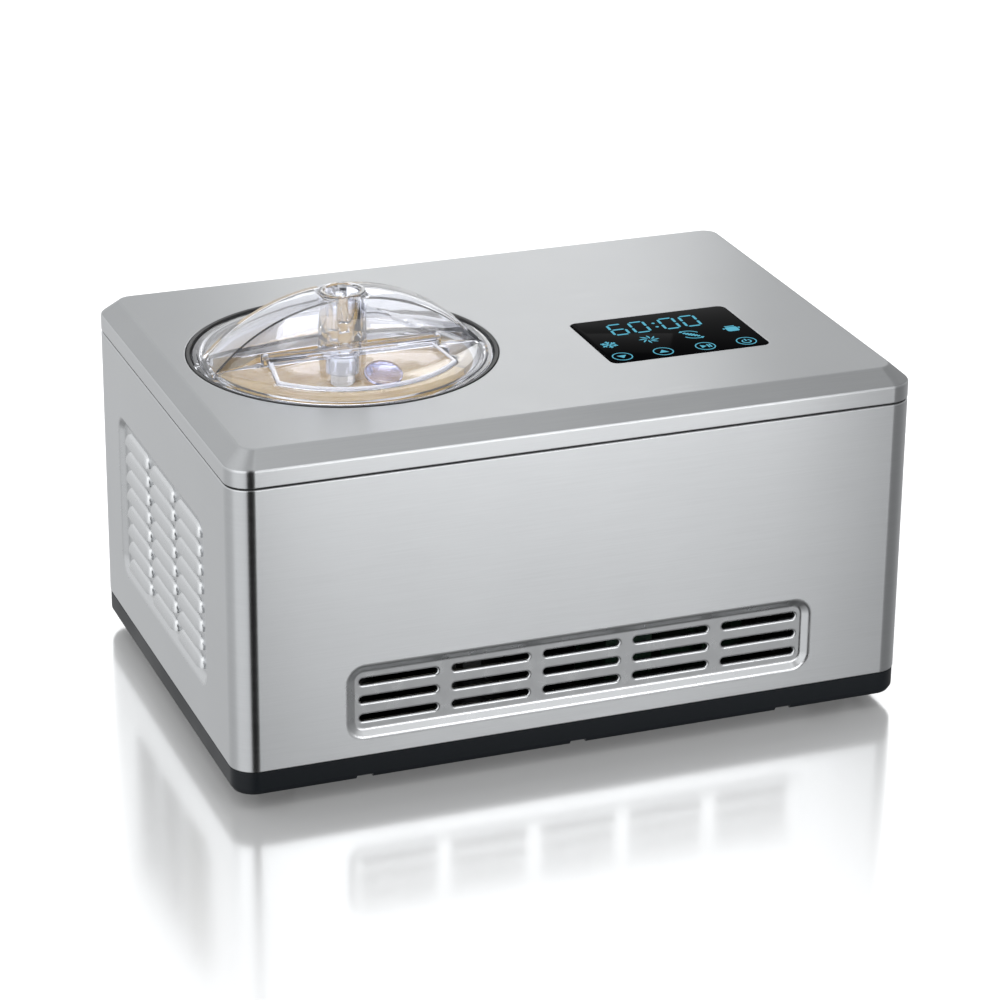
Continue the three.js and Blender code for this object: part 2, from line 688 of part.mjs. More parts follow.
function refillFlap() {
  const plate = extrude(flapShape(-gap), -rimDrop, domeBase + lidRise + 4, 9).intersect(domeShell());
  const barrelEnd = flapHalfWidth - gap;
  const barrel = alongX(hingeRadius, -barrelEnd, barrelEnd, -flapHinge, hingeZ, 16);
  const pin = alongX(hingePinRadius, -barrelEnd - hingeEar, barrelEnd + hingeEar, -flapHinge, hingeZ, 12);
  const web = box(-barrelEnd, barrelEnd, -flapHinge - hingeRadius - 2, -flapHinge - 0.6,
    hingeZ - hingeRadius,
    hingeZ - 0.2);
  const tabY = -flapRadius + flapTabRadius + 1;
  const tilt = 20 * Math.PI / 180;
  const tab = new THREE.CylinderGeometry(flapTabRadius, flapTabRadius, 1.8, 28)
    .rotateX(Math.PI / 2 + tilt).translate(5, tabY,
      domeTop(-tabY) + flapTabRadius * Math.sin(tilt) * 0.4 + 0.9);
  return join(plate, barrel, pin, web, solid(tab));
}

function bowl() {
  const outer = bowlRadius + bowlWall;
  const floor = bowlFloor;
  const sleeve = shaftRadius + play;
  const top = floor + chimneyHeight;
  return lathe([
    [sleeve, floor - bowlWall], [outer - 6, floor - bowlWall], [outer, floor + 6 - bowlWall],
    [outer, -rimDrop - bowlWall], [bowlRimRadius, -rimDrop - bowlWall], [bowlRimRadius, -rimDrop],
    [bowlRadius, -rimDrop], [bowlRadius, floor + 5], [bowlRadius - 5, floor],
    [sleeve + bowlWall + 3, floor], [sleeve + bowlWall, floor + 3], [sleeve + bowlWall, top],
    [sleeve, top],
  ], 40);
}

function well() {
  const outer = wellRadius + wellWall;
  const bush = shaftRadius + 4;
  return lathe([
    [bush, wellFloor - wellWall], [outer, wellFloor - wellWall], [outer, wellTop - wellWall],
    [wellFlangeRadius, wellTop - wellWall], [wellFlangeRadius, wellTop], [wellRadius, wellTop],
    [wellRadius, wellFloor], [bush, wellFloor],
  ], 40);
}

// Sleeve bearing between the shaft and the well's floor, with a flange under the floor.
function shaftBush() {
  const under = wellFloor - wellWall - gap;
  return lathe([
    [shaftRadius + 0.3, under - 8], [shaftRadius + 3.4, under - 8], [shaftRadius + 3.4, under - 2],
    [shaftRadius + 7, under - 2], [shaftRadius + 7, under], [shaftRadius + 3.4, under],
    [shaftRadius + 3.4, wellFloor], [shaftRadius + 0.3, wellFloor],
  ], 16);
}

function coilPoint(turn) {
  const angle = turn * 2 * Math.PI;
  return [coilCentre * Math.cos(angle), coilCentre * Math.sin(angle),
    -coilTop - coilPitch * (coilTurns - turn)];
}

function coil() {
  const points = Array.from({ length: coilTurns * coilSteps + 1 }, (_, i) => coilPoint(i / coilSteps));
  return tube(points, coilRadius, coilTurns * coilSteps, 6);
}

// The pipes leave the coil's two ends along its tangent and cross the insulation towards +X.
function coilTail(end, side, reach) {
  const [x, y, z] = coilPoint(end);
  const out = foamOuter + reach;
  return [[x, y + side * (gap + 0.2), z], [x + 1, y + side * 8, z], [x + 8, y + side * 15, z], [out - 4,
    y + side * 18, z],
    [out, y + side * 18, z]];
}

function insulation(tails) {
  const bushRoom = shaftRadius + 8;
  const shell = lathe([
    [bushRoom, foamFloor], [foamOuter, foamFloor], [foamOuter, foamTop], [foamInner, foamTop],
    [foamInner, foamFloor + foamWall], [bushRoom, foamFloor + foamWall],
  ], 32);
  return cut(shell, ...tails.map((points) => tube(points, pipeRadius + 0.6, 10)));
}

function driveShaft() {
  const foot = gearCaseFloor - deckZ + gearCaseWall + gap;
  const step = bowlFloor + chimneyHeight + 0.6;
  return join(
    cylinder(shaftRadius, foot, step, 0, 0, 16),
    cylinder(hexRadius, step - 1, step + 12, 0, 0, 6),
  );
}

function paddle() {
  const low = bowlFloor + 1.2;
  const sleeve = shaftRadius + play + bowlWall;
  const neck = bowlFloor + chimneyHeight + 1.2;
  const hub = lathe([
    [sleeve + play, low + 3], [hubRadius, low + 3], [hubRadius, neck + 2], [stemRadius, neck + 16],
    [stemRadius, -socketDepth + 9], [0, -socketDepth + 9], [0, neck], [sleeve + play, neck],
  ], 24);
  const socket = cylinder(hexRadius + 0.6, neck - 1, neck + 14.5, 0, 0, 6);
  const reach = bowlRadius - 2.4;
  const frame = outline([
    [hubRadius - 1.5, low + 4], [16, low], [reach - 5, low], [reach, low + 5], [reach, -bladeTop],
    [reach - 22, -bladeTop], [hubRadius - 1.5, -bladeTop - 30],
  ]);
  frame.holes.push(new THREE.Path([[hubRadius + 5, low + bladeBar], [reach - bladeBar - 12, low + bladeBar],
    [reach - bladeBar, low + bladeBar + 12], [reach - bladeBar, -bladeTop - bladeBar],
    [reach - 22, -bladeTop - bladeBar], [hubRadius + 5,
      -bladeTop - 30 - bladeBar]].map((p) => new THREE.Vector2(...p))));
  const blade = (turn) => {
    const made = new THREE.ExtrudeGeometry(frame, { depth: bladeThickness, bevelEnabled: false });
    return solid(made.rotateX(Math.PI / 2).translate(0, bladeThickness / 2, 0).rotateZ(turn));
  };
  return cut(join(hub, blade(0), blade(Math.PI)), socket);
}

function addBowlUnit(parent) {
  const unit = group(parent, bowlX, bowlY, deckZ);
  const suction = coilTail(coilTurns, 1, 4);
  const liquid = coilTail(0, -1, 4);
  add(unit, 'bowl_collar', collar(), rubber);
  add(unit, 'lid', lid(), clear);
  add(unit, 'refill_flap', refillFlap(), clear);
  add(unit, 'bowl', bowl(), aluminium);
  add(unit, 'paddle', paddle(), whitePlastic);
  add(unit, 'evaporator_well', well(), aluminium);
  add(unit, 'evaporator_coil', coil(), copper);
  add(unit, 'insulation_shell', insulation([suction, liquid]), foam);
  add(unit, 'shaft_bush', shaftBush(), whitePlastic);
  add(unit, 'drive_shaft', driveShaft(), steel);
}

// ---- Stirring drive --------------------------------------------------------------------------

// Involute spur gear about Z with a tooth on +X.
function gear(teeth, z0, z1, bore, turn = 0) {
  const pitchRadius = teeth * gearModule / 2;
  const baseRadius = pitchRadius * Math.cos(pressureAngle);
  const involute = (angle) => Math.tan(angle) - angle;
  const halfTooth = (r) => Math.PI / (2 * teeth) - toothPlay / (2 * pitchRadius) + involute(pressureAngle)
    - involute(Math.acos(Math.min(1, baseRadius / r)));
  const radii = [-1.15, -0.1, 0.85].map((share) => pitchRadius + share * gearModule);
  const points = [];
  for (let i = 0; i < teeth; i++) {
    const middle = turn + i * 2 * Math.PI / teeth;
    for (const r of radii) points.push([r, middle - halfTooth(r)]);
    for (const r of [...radii].reverse()) points.push([r, middle + halfTooth(r)]);
  }
  const shape = outline(points.map(([r, a]) => [r * Math.cos(a), r * Math.sin(a)]));
  shape.holes.push(new THREE.Path().absarc(0, 0, bore, 0, 2 * Math.PI));
  return extrude(shape, z0, z1, 12);
}

// Plan of the gear case: round the output gear and the pinion beside it.
function caseBlock(inset, z0, z1) {
  const big = gearModule * outputTeeth / 2 + 6 - inset;
  const small = gearModule * pinionTeeth / 2 + 9 - inset;
  return join(cylinder(big, z0, z1, 0, 0, 36), cylinder(small, z0, z1, gearCentres, 0, 20));
}

function gearCase() {
  const inside = gearCaseHeight - gearCaseWall;
  return cut(
    caseBlock(0, 0, inside), caseBlock(gearCaseWall, gearCaseWall, inside + 1),
    cylinder(pinionShaftRadius + play, -1, gearCaseWall + 1, gearCentres, 0, 16),
  );
}

function gearCover() {
  const base = gearCaseHeight - gearCaseWall + gap;
  return cut(caseBlock(0, base, base + gearCaseWall), cylinder(shaftRadius + play, base - 1,
    base + gearCaseWall + 1));
}

// Sheet table that carries the gear case on top and the motor underneath.
function gearBracket() {
  const half = gearModule * outputTeeth / 2 + 14;
  const right = gearCentres + motorRadius + 12;
  const foot = -motorHeight - gap;
  const plate = box(-half, right, -half, half, 0, bracketSheet);
  const legs = [[-half, -half], [right - 12, -half], [-half, half - 12], [right - 12,
    half - 12]].map(([x, y]) => (
    box(x, x + 12, y, y + 12, foot, 0.1)));
  return cut(join(plate, ...legs), cylinder(pinionShaftRadius + play, -1, bracketSheet + 1, gearCentres,
    0, 16));
}

function motor() {
  const top = motorHeight - gap;
  return lathe([
    [0, gap], [motorRadius - 3, gap], [motorRadius, 3], [motorRadius, top - 3],
    [motorRadius - 2, top - 1], [10, top - 1], [10, top], [pinionShaftRadius + play, top],
    [pinionShaftRadius + play, top - 12], [0, top - 12],
  ], 20);
}

function pinionShaft() {
  const foot = -bracketSheet - gap - 10;
  return cylinder(pinionShaftRadius, foot, gearCaseHeight - gearCaseWall - 2, 0, 0, 20);
}

function addDrive(parent) {
  const drive = group(parent, bowlX, bowlY, gearCaseFloor);
  const gearLow = outputGearZ - gearCaseFloor;
  add(drive, 'gear_case', gearCase(), blackPlastic);
  add(drive, 'gear_cover', gearCover(), blackPlastic);
  add(drive, 'output_gear', gear(outputTeeth, gearLow, gearLow + gearThickness, shaftRadius + gap),
    whitePlastic);
  const pinion = gear(pinionTeeth, gearLow, gearLow + gearThickness, pinionShaftRadius + gap,
    Math.PI / pinionTeeth);
  add(drive, 'motor_pinion', pinion, whitePlastic, gearCentres);
  add(drive, 'pinion_shaft', pinionShaft(), steel, gearCentres);
  add(drive, 'gear_bracket', gearBracket(), steel, 0, 0, -gap - bracketSheet);
  add(parent, 'stirring_motor', motor(), blackPaint, bowlX + gearCentres, bowlY, trayTop + gap);
}

// ---- Cooling circuit -------------------------------------------------------------------------

function compressor() {
  const r = compressorRadius;
  const h = compressorHeight;
  const shell = lathe([
    [0, 0], [r * 0.7, 0], [r * 0.93, 9], [r, 24], [r, h * 0.48], [r + 2, h * 0.48],
    [r + 2, h * 0.52], [r, h * 0.52], [r, h - 24], [r * 0.9, h - 9], [r * 0.6, h - 1.5], [0, h],
  ], 24);
  const plate = box(-r - 8, r + 8, -r + 8, r - 8, 0, 3);
  const terminals = box(-14, 14, -r - terminalReach, -r + 12, h * 0.56, h * 0.56 + 26);
  return join(shell, plate, terminals);
}

function compressorMount() {
  return lathe([
    [0, 0], [mountRadius, 0], [mountRadius, 3], [mountRadius - 2, 4.5],
    [mountRadius - 2, mountHeight - 2], [mountRadius - 1, mountHeight], [0, mountHeight],
  ], 12);
}

function condenserSolid() {
  const { thick, length, height, fins, fin, plate } = condenser;
  const pitch = (length - fin) / (fins - 1);
  const comb = [[thick, length], [thick, 0]];
  for (let i = 0; i < fins; i++) {
    const y = i * pitch;
    if (i > 0) comb.push([thick - plate, y]);
    comb.push([0, y], [0, y + fin]);
    if (i < fins - 1) comb.push([thick - plate, y + fin]);
  }
  return extrude(outline(comb), 0, height);
}

// The fan's pieces are made about Z; their group turns that axis to +X.
function fanFrame() {
  const square = roundedRect(fanSize, fanSize, 6);
  square.holes.push(new THREE.Path().absarc(0, 0, fanBore, 0, 2 * Math.PI));
  const spokes = [0, 1, 2, 3].map((i) => solid(
    new THREE.BoxGeometry(fanBore - fanHub + 4, 4, 3).translate((fanBore + fanHub) / 2, 0,
      1.5).rotateZ(i * Math.PI / 2 + 0.6)));
  return join(extrude(square, 0, fanDepth, 8), ...spokes, cylinder(fanHub + 0.5, 0, 3));
}

function fanBlades() {
  const hubLow = 3 + 8 + 2;
  const blade = (i) => solid(new THREE.BoxGeometry(fanBore - fanHub - 1, 1.8, 15)
    .rotateX(0.9).translate((fanBore + fanHub) / 2 - 1.5, 0,
      hubLow + 5).rotateZ(i * 2 * Math.PI / fanBladeCount));
  return join(cylinder(fanHub, hubLow, fanDepth - 2), ...Array.from({ length: fanBladeCount }, (_,
    i) => blade(i)));
}

function addCooling(parent) {
  const unit = group(parent, compressorX, compressorY, compressorZ);
  add(unit, 'compressor', compressor(), blackPaint);
  corners.forEach(([i, j], n) => {
    const x = i * (compressorRadius - 2);
    const y = j * (compressorRadius - 18);
    add(unit, `compressor_mount_${n + 1}`, compressorMount(), rubber, x, y, -gap - mountHeight);
  });
  add(parent, 'condenser', condenserSolid(), aluminium, condenserX, sideVent.x - condenser.length / 2,
    trayTop + gap + 2);
  const fan = group(parent, fanX, sideVent.x, fanZ);
  fan.rotation.y = Math.PI / 2;
  add(fan, 'fan_frame', fanFrame(), blackPlastic);
  add(fan, 'fan_motor', cylinder(fanHub - 1, 3 + gap, 3 + 8), blackPaint);
  add(fan, 'fan_blades', fanBlades(), blackPlastic);
  addPipes(parent);
}

function addPipes(parent) {
  const drierX = condenserX - drierRadius - 11;
  const drierY = compressorY - compressorRadius - terminalReach - drierRadius - 6;
  const drier = lathe([
    [0, 0], [pipeRadius, 0], [drierRadius, 10], [drierRadius, drierLength - 10],
    [pipeRadius, drierLength], [0, drierLength],
  ], 12);
  add(parent, 'filter_drier', drier, copper, drierX, drierY, trayTop + 20);
  const inBowlFrame = ([x, y, z]) => [x + bowlX, y + bowlY, z + deckZ];
  const top = compressorZ + compressorHeight;
  const suction = coilTail(coilTurns, 1, 4).map(inBowlFrame);
  suction.push([bowlX + foamOuter + 16, compressorY - 26, deckZ - coilTop + 2],
    [compressorX - 12, compressorY - 10, deckZ - coilTop + 4],
    [compressorX, compressorY, top + 24], [compressorX + 2, compressorY, top + 6], [compressorX + 2,
      compressorY, top + gap]);
  add(parent, 'suction_pipe', tube(suction, pipeRadius, 36), copper);
  const start = compressorX + compressorRadius + 2 + gap;
  const end = condenserX - 1;
  const middle = (start + end) / 2;
  const low = compressorZ + 30;
  add(parent, 'discharge_pipe', tube([
    [start, compressorY, low], [start + 2, compressorY, low], [middle - 1, compressorY, low + 4],
    [middle, compressorY - 3, low + 18], [middle, compressorY - 17, low + 48],
    [middle + 1, compressorY - 20, low + 62], [end - 2, compressorY - 20, low + 66], [end,
      compressorY - 20, low + 66],
  ], pipeRadius, 18), copper);
}

addHousing(iceCreamMaker);
addElectronics(iceCreamMaker);
addBowlUnit(iceCreamMaker);
addDrive(iceCreamMaker);
addCooling(iceCreamMaker);

export default iceCreamMaker;
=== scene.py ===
"""The looks of a self-refrigerating ice cream maker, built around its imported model.

Lengths are in millimetres in the row frame: +Z up, front towards -Y, origin on the floor under the
middle of the footprint. They become metres where a mesh is made.
"""

from math import acos, asin, cos, hypot, pi, radians, sin, sqrt, tan

import bmesh
import bpy
from mathutils import Matrix, Vector, noise
from mathutils.geometry import delaunay_2d_cdt


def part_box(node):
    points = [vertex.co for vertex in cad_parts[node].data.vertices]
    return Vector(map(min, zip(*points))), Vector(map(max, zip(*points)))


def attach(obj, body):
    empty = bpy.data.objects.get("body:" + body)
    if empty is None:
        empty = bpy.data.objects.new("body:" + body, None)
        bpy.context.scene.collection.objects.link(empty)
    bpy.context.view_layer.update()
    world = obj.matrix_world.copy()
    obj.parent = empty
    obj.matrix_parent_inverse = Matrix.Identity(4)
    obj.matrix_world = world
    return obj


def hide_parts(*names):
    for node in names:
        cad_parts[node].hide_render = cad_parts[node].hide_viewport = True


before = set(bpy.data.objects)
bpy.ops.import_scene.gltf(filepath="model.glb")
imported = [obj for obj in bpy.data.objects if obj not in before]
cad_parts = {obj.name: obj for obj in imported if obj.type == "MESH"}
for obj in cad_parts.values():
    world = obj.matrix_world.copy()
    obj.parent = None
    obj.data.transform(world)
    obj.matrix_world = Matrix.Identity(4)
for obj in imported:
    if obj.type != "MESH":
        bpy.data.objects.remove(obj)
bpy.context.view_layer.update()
MM = 0.001

# Sizes


def box_mm(node):
    low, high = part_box(node)
    return low / MM, high / MM


def middle_and_half(box):
    """A box's centre and half its size, each as x, y, z."""
    low, high = box
    return [(a + b) / 2 for a, b in zip(low, high)], [(b - a) / 2 for a, b in zip(low, high)]


WRAP = box_mm("housing_wrap")
COVER = box_mm("top_cover")
BASE = box_mm("base_tray")
REAR = box_mm("rear_panel")
GLASS = box_mm("display_glass")
COLLAR = box_mm("bowl_collar")
LID = box_mm("lid")
BOWL = box_mm("bowl")
WELL = box_mm("evaporator_well")
PADDLE = box_mm("paddle")
SHAFT = box_mm("drive_shaft")
INLET = box_mm("mains_inlet")
FOOT = box_mm("foot_1")
REAR_SCREWS = [box_mm(f"rear_screw_{index}") for index in range(1, 5)]

HALF_WIDTH = WRAP[1].x
HALF_DEPTH = WRAP[1].y
DECK = COVER[1].z
BOWL_AXIS = ((COLLAR[0].x + COLLAR[1].x) / 2, (COLLAR[0].y + COLLAR[1].y) / 2)
CORNER = 15  # radius of the housing's upright corners
CORNER_STEPS = 14
CHAMFER_RISE = 9.3
CHAMFER_INSET = 10.7
NOTCH_PITCH = 134  # between the notches in the base's front rim
NOTCH_HALF = 5

FRONT_VENT = dict(x=2, z=WRAP[0].z + 34.6, width=284, height=37, columns=5, rows=3,
                  pitch=(57.2, 11.6), slot=(48, 4.2))
SIDE_VENT = dict(x=-5, z=WRAP[0].z + 82, width=176, height=96, columns=3, rows=8,
                 pitch=(55.3, 12), louvre=(47, 6.6))
REAR_VENT = dict(x=0, z=WRAP[0].z + 102, columns=2, rows=7, pitch=(116, 12), slot=(88, 4))
DISH_RADIUS = 6
DISH_DEPTH = 3
DISH_BORDER = 4.6

BOWL_RADIUS = 79
BOWL_WALL = 1.5
SHAFT_HEX = 4.4  # from the shaft's axis to the corners of its hexagon
BOWL_FLOOR = BOWL[0].z - DECK + BOWL_WALL
BOWL_RIM = BOWL[1].z - DECK
RIM_RADIUS = (BOWL[1].x - BOWL[0].x) / 2
WELL_GAP = 0.6
WELL_WALL = 1.5
COLLAR_INNER = 91
COLLAR_OUTER = 93.4
LID_RADIUS = (LID[1].x - LID[0].x) / 2
LID_SEAT = -3
LID_WALL = 2.4
DOME_EDGE = LID_RADIUS - 3.1
DOME_BASE = 0.8
DOME_RISE = 6.5
BRIDGE_HALF = 14
BRIDGE_TOP = 38.2
BRIDGE_WALL = 2
TUBE_BORE = 10.5
SOCKET_BORE = 7.8
SOCKET_FOOT = LID[0].z - DECK
HINGE_Y = -17.6
HINGE_RADIUS = 1.9
HINGE_PIN = 1.1
FLAP_HALF = 52
FLAP_CORNER = 56
FLAP_RADIUS = DOME_EDGE - 13.9
TAB_RADIUS = 11.3
TAB_X = 5

# Meshes


def encloses(loop, point):
    """Whether a point lies inside a closed outline."""
    within = False
    for (ax, ay), (bx, by) in zip(loop, [*loop[1:], loop[0]]):
        if (ay > point.y) != (by > point.y):
            crossing = ax + (bx - ax) * (point.y - ay) / (by - ay)
            within = within != (point.x < crossing)
    return within


class Form:
    """Points in millimetres and the faces between them. Rings are lists of points of one length."""

    def __init__(self):
        self.points = []
        self.faces = []
        self.marked = []

    def mark(self, start):
        """Gives the faces made since a count of faces the piece's second finish."""
        self.marked += range(start, len(self.faces))
        return self

    def loft(self, rings, closed=True):
        first, n = len(self.points), len(rings[0])
        for ring in rings:
            self.points += [tuple(p) for p in ring]
        for k in range(len(rings) - 1):
            for i in range(n if closed else n - 1):
                a, b = first + k * n + i, first + k * n + (i + 1) % n
                self.faces.append((a, b, b + n, a + n))
        return self

    def solid(self, rings):
        """A loft with both ends closed."""
        return self.loft(rings).cap(rings[-1]).cap(rings[0], True)

    def cap(self, ring, turned=False):
        first = len(self.points)
        self.points += [tuple(p) for p in ring]
        face = list(range(first, first + len(ring)))
        self.faces.append(face[::-1] if turned else face)
        return self

    def fill(self, outer, holes, place):
        """A flat area between an outline and its holes, in (u, v), put in place by a function."""
        flat, edges = [], []
        for loop in [outer, *holes]:
            start = len(flat)
            flat += [Vector(p) for p in loop]
            edges += [(start + i, start + (i + 1) % len(loop)) for i in range(len(loop))]
        made = delaunay_2d_cdt(flat, edges, [], 1, 1e-5)
        first = len(self.points)
        self.points += [tuple(place(p.x, p.y)) for p in made[0]]
        for face in made[2]:
            a, b, c = (made[0][i] for i in face)
            if any(encloses(hole, (a + b + c) / 3) for hole in holes):
                continue
            turned = (b - a).cross(c - a) < 0
            self.faces.append([first + i for i in (reversed(face) if turned else face)])
        return self

    def prism(self, outline, low, high):
        """An upright solid over a flat outline."""
        return self.solid([[(x, y, z) for x, y in outline] for z in (low, high)])

    def turn(self, profile, sides=128, closed=True):
        """Turns (radius, height) points about Z. Closed joins the last point to the first."""
        angles = [2 * pi * i / sides for i in range(sides)]
        rings = [[(r * cos(a), r * sin(a), z) for a in angles] for r, z in profile]
        return self.loft(rings + rings[:1] if closed else rings)

    def shift(self, x, y, z):
        self.points = [(p[0] + x, p[1] + y, p[2] + z) for p in self.points]
        return self

    def turned_to_x(self, y, z, x=0.0):
        """Lays a turned solid's axis along X at a depth and a height."""
        self.points = [(x + p[2], y + p[0], z + p[1]) for p in self.points]
        return self


def linked(name, data):
    made = bpy.data.objects.new(name, data)
    bpy.context.scene.collection.objects.link(made)
    return made


def piece(name, form, finish, body, stands_for=(), sheet=0, sharp=35, second=None):
    """Makes a Form into an object that rides on a body. A sheet gets that thickness inwards."""
    mesh = bpy.data.meshes.new(name)
    mesh.from_pydata([Vector(p) * MM for p in form.points], [], form.faces)
    for index in form.marked:
        mesh.polygons[index].material_index = 1
    work = bmesh.new()
    work.from_mesh(mesh)
    bmesh.ops.remove_doubles(work, verts=work.verts, dist=2e-6)
    bmesh.ops.dissolve_degenerate(work, edges=work.edges, dist=1e-6)
    loose = [v for v in work.verts if not v.link_faces]
    bmesh.ops.delete(work, geom=loose, context="VERTS")
    if not sheet:
        bmesh.ops.recalc_face_normals(work, faces=work.faces)
    work.to_mesh(mesh)
    work.free()
    made = linked(name, mesh)
    if sheet:
        modify(made, "SOLIDIFY", thickness=sheet * MM, offset=-1)
    dress(made, finish, sharp, second)
    if sheet:
        modify(made, "WEIGHTED_NORMAL", keep_sharp=True, weight=80)
    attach(made, body)
    if stands_for:
        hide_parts(*stands_for)
    return made


def dress(made, finish, sharp=35, second=None):
    places = [face.material_index for face in made.data.polygons]
    made.data.materials.clear()
    for each in (finish, second) if second else (finish,):
        made.data.materials.append(each)
    for face, place in zip(made.data.polygons, places):
        face.material_index = place if second else 0
    made.data.shade_smooth()
    made.data.set_sharp_from_angle(angle=radians(sharp))


def modify(made, kind, **settings):
    """Puts a modifier on a piece and applies it."""
    change = made.modifiers.new(kind, kind)
    for key, value in settings.items():
        setattr(change, key, value)
    depsgraph = bpy.context.evaluated_depsgraph_get()
    mesh = bpy.data.meshes.new_from_object(made.evaluated_get(depsgraph))
    made.modifiers.clear()
    made.data = mesh


def carve(made, form, operation="DIFFERENCE"):
    """Cuts a Form out of a piece, or joins it on."""
    tool = piece("tool", form, made.data.materials[0], "base")
    modify(made, "BOOLEAN", operation=operation, solver="EXACT", object=tool)
    bpy.data.objects.remove(tool)


def bevel(made, width):
    modify(made, "BEVEL", width=width * MM, segments=2, limit_method="ANGLE",
           angle_limit=radians(40))


def placed(x, y, z):
    return Matrix.Translation(Vector((x, y, z)) * MM)


def settle(made, finish):
    """Moves a piece made at the origin to the bowl's axis, and dresses it again after carving."""
    made.data.transform(placed(*BOWL_AXIS, DECK))
    dress(made, finish)


# Outlines


def rounded(half_w, half_h, radius, steps=8, cx=0.0, cy=0.0):
    """A rounded rectangle, anticlockwise from its lower right corner."""
    points = []
    for quarter, (sx, sy) in enumerate([(1, -1), (1, 1), (-1, 1), (-1, -1)]):
        for i in range(steps + 1):
            a = radians(quarter * 90 - 90 + 90 * i / steps)
            points.append((cx + sx * (half_w - radius) + radius * cos(a),
                           cy + sy * (half_h - radius) + radius * sin(a)))
    return points


def circle(radius, sides=96, cx=0.0, cy=0.0):
    return [(cx + radius * cos(2 * pi * i / sides),
             cy + radius * sin(2 * pi * i / sides)) for i in range(sides)]


def softened(path, radii, steps=6):
    """A path of 2-D points with its inner corners turned into arcs."""
    points = [Vector(path[0])]
    for before, corner, after, radius in zip(path, path[1:], path[2:], radii):
        corner = Vector(corner)
        back, on = (Vector(before) - corner).normalized(), (Vector(after) - corner).normalized()
        half = back.angle(on) / 2
        run = radius / tan(half)
        centre = corner + (back + on).normalized() * (radius / sin(half))
        start, end = corner + back * run - centre, corner + on * run - centre
        for i in range(steps + 1):
            points.append(centre + start.slerp(end, i / steps) * radius)
    return [tuple(p) for p in points + [Vector(path[-1])]]


def footprint(inset, z, squeeze=1.0):
    """The housing's outline, drawn in by an inset. Squeeze says how much its corners tighten."""
    radius = max(CORNER - squeeze * inset, 1.5)
    return [(x, y, z) for x, y in
            rounded(HALF_WIDTH - inset, HALF_DEPTH - inset, radius, CORNER_STEPS)]


# Materials


def add_node(tree, kind, settings=None, **inputs):
    """Adds a shader node. Its inputs are given by name, or by number as i0, i1 and so on."""
    made = tree.nodes.new("ShaderNode" + kind)
    for key, value in (settings or {}).items():
        setattr(made, key, value)
    for key, value in inputs.items():
        numbered = key[0] == "i" and key[1:].isdigit()
        socket = made.inputs[int(key[1:]) if numbered else key.replace("_", " ")]
        if isinstance(value, bpy.types.NodeSocket):
            tree.links.new(value, socket)
        else:
            socket.default_value = value
    return made


def math_node(tree, operation, *values):
    inputs = {f"i{k}": value for k, value in enumerate(values)}
    return add_node(tree, "Math", {"operation": operation}, **inputs).outputs[0]


class Finish:
    """A Principled material whose constant values sit on the shader, with helpers for its nodes."""

    def __init__(self, name, **values):
        self.material = bpy.data.materials.new(name)
        self.material.use_nodes = True
        self.tree = self.material.node_tree
        self.shader = self.tree.nodes["Principled BSDF"]
        self.coordinates = self.tree.nodes.new("ShaderNodeTexCoord").outputs["Object"]
        for socket, value in values.items():
            self.shader.inputs[socket.replace("_", " ")].default_value = value

    def node(self, kind, settings=None, **inputs):
        return add_node(self.tree, kind, settings, **inputs)

    def math(self, operation, *values):
        return math_node(self.tree, operation, *values)

    def grain(self, scale, stretch=(1, 1, 1), detail=3.0, roughness=0.6):
        """Noise over the object's own coordinates, in cycles per metre."""
        spread = self.node("Mapping", Vector=self.coordinates, Scale=stretch)
        made = self.node("TexNoise", Vector=spread.outputs[0], Scale=scale, Detail=detail,
                         Roughness=roughness)
        return made.outputs["Fac"]

    def spread(self, factor, low, high):
        made = self.node("MapRange", i0=factor, i1=0.3, i2=0.7, i3=low, i4=high)
        return made.outputs[0]

    def blend(self, factor, first, second):
        made = self.node("Mix", {"data_type": "RGBA"}, Factor=factor)
        made.inputs[6].default_value = (*first, 1)
        made.inputs[7].default_value = (*second, 1)
        return made.outputs[2]

    def feed(self, socket, source):
        self.tree.links.new(source, self.shader.inputs[socket.replace("_", " ")])
        return self

    def mix_in(self, factor, other):
        """Sends a mix of the main shader and another one to the output."""
        mix = self.node("MixShader", i0=factor, i1=self.shader.outputs[0], i2=other.outputs[0])
        self.tree.links.new(mix.outputs[0], self.tree.nodes["Material Output"].inputs[0])

    def bump(self, height, distance, strength=1.0):
        made = self.node("Bump", Height=height, Distance=distance * MM, Strength=strength)
        return self.feed("Normal", made.outputs[0])


def brushed(name, stretch, spread_along, color=(0.51, 0.52, 0.53), roughness=0.32):
    """Brushed sheet: fine streaks, and highlights drawn out across them."""
    steel = Finish(name, Metallic=1.0, Roughness=roughness, Anisotropic=0.92)
    streaks = steel.grain(1100, stretch, 4.0, 0.7)
    clouds = steel.grain(9, (1, 1, 1), 2.0)
    darker = tuple(0.87 * c for c in color)
    lighter = tuple(1.11 * c for c in color)
    tone = steel.math("MULTIPLY_ADD", clouds, 0.35, 0.0)
    both = steel.math("MULTIPLY_ADD", streaks, 0.65, tone)
    steel.feed("Base_Color", steel.blend(both, darker, lighter))
    steel.feed("Roughness", steel.spread(streaks, roughness - 0.035, roughness + 0.035))
    along = steel.node("CombineXYZ", X=spread_along[0], Y=spread_along[1], Z=spread_along[2])
    steel.feed("Tangent", along.outputs[0])
    steel.bump(streaks, 0.012, 0.5)
    return steel.material


def cast_metal(name, color, roughness, grain=700, depth=0.01):
    metal = Finish(name, Metallic=1.0, Roughness=roughness)
    speckle = metal.grain(grain, (1, 1, 1), 3.0)
    metal.feed("Base_Color", metal.blend(speckle, tuple(0.9 * c for c in color), color))
    metal.feed("Roughness", metal.spread(speckle, roughness - 0.05, roughness + 0.06))
    return metal.bump(speckle, depth, 0.5).material


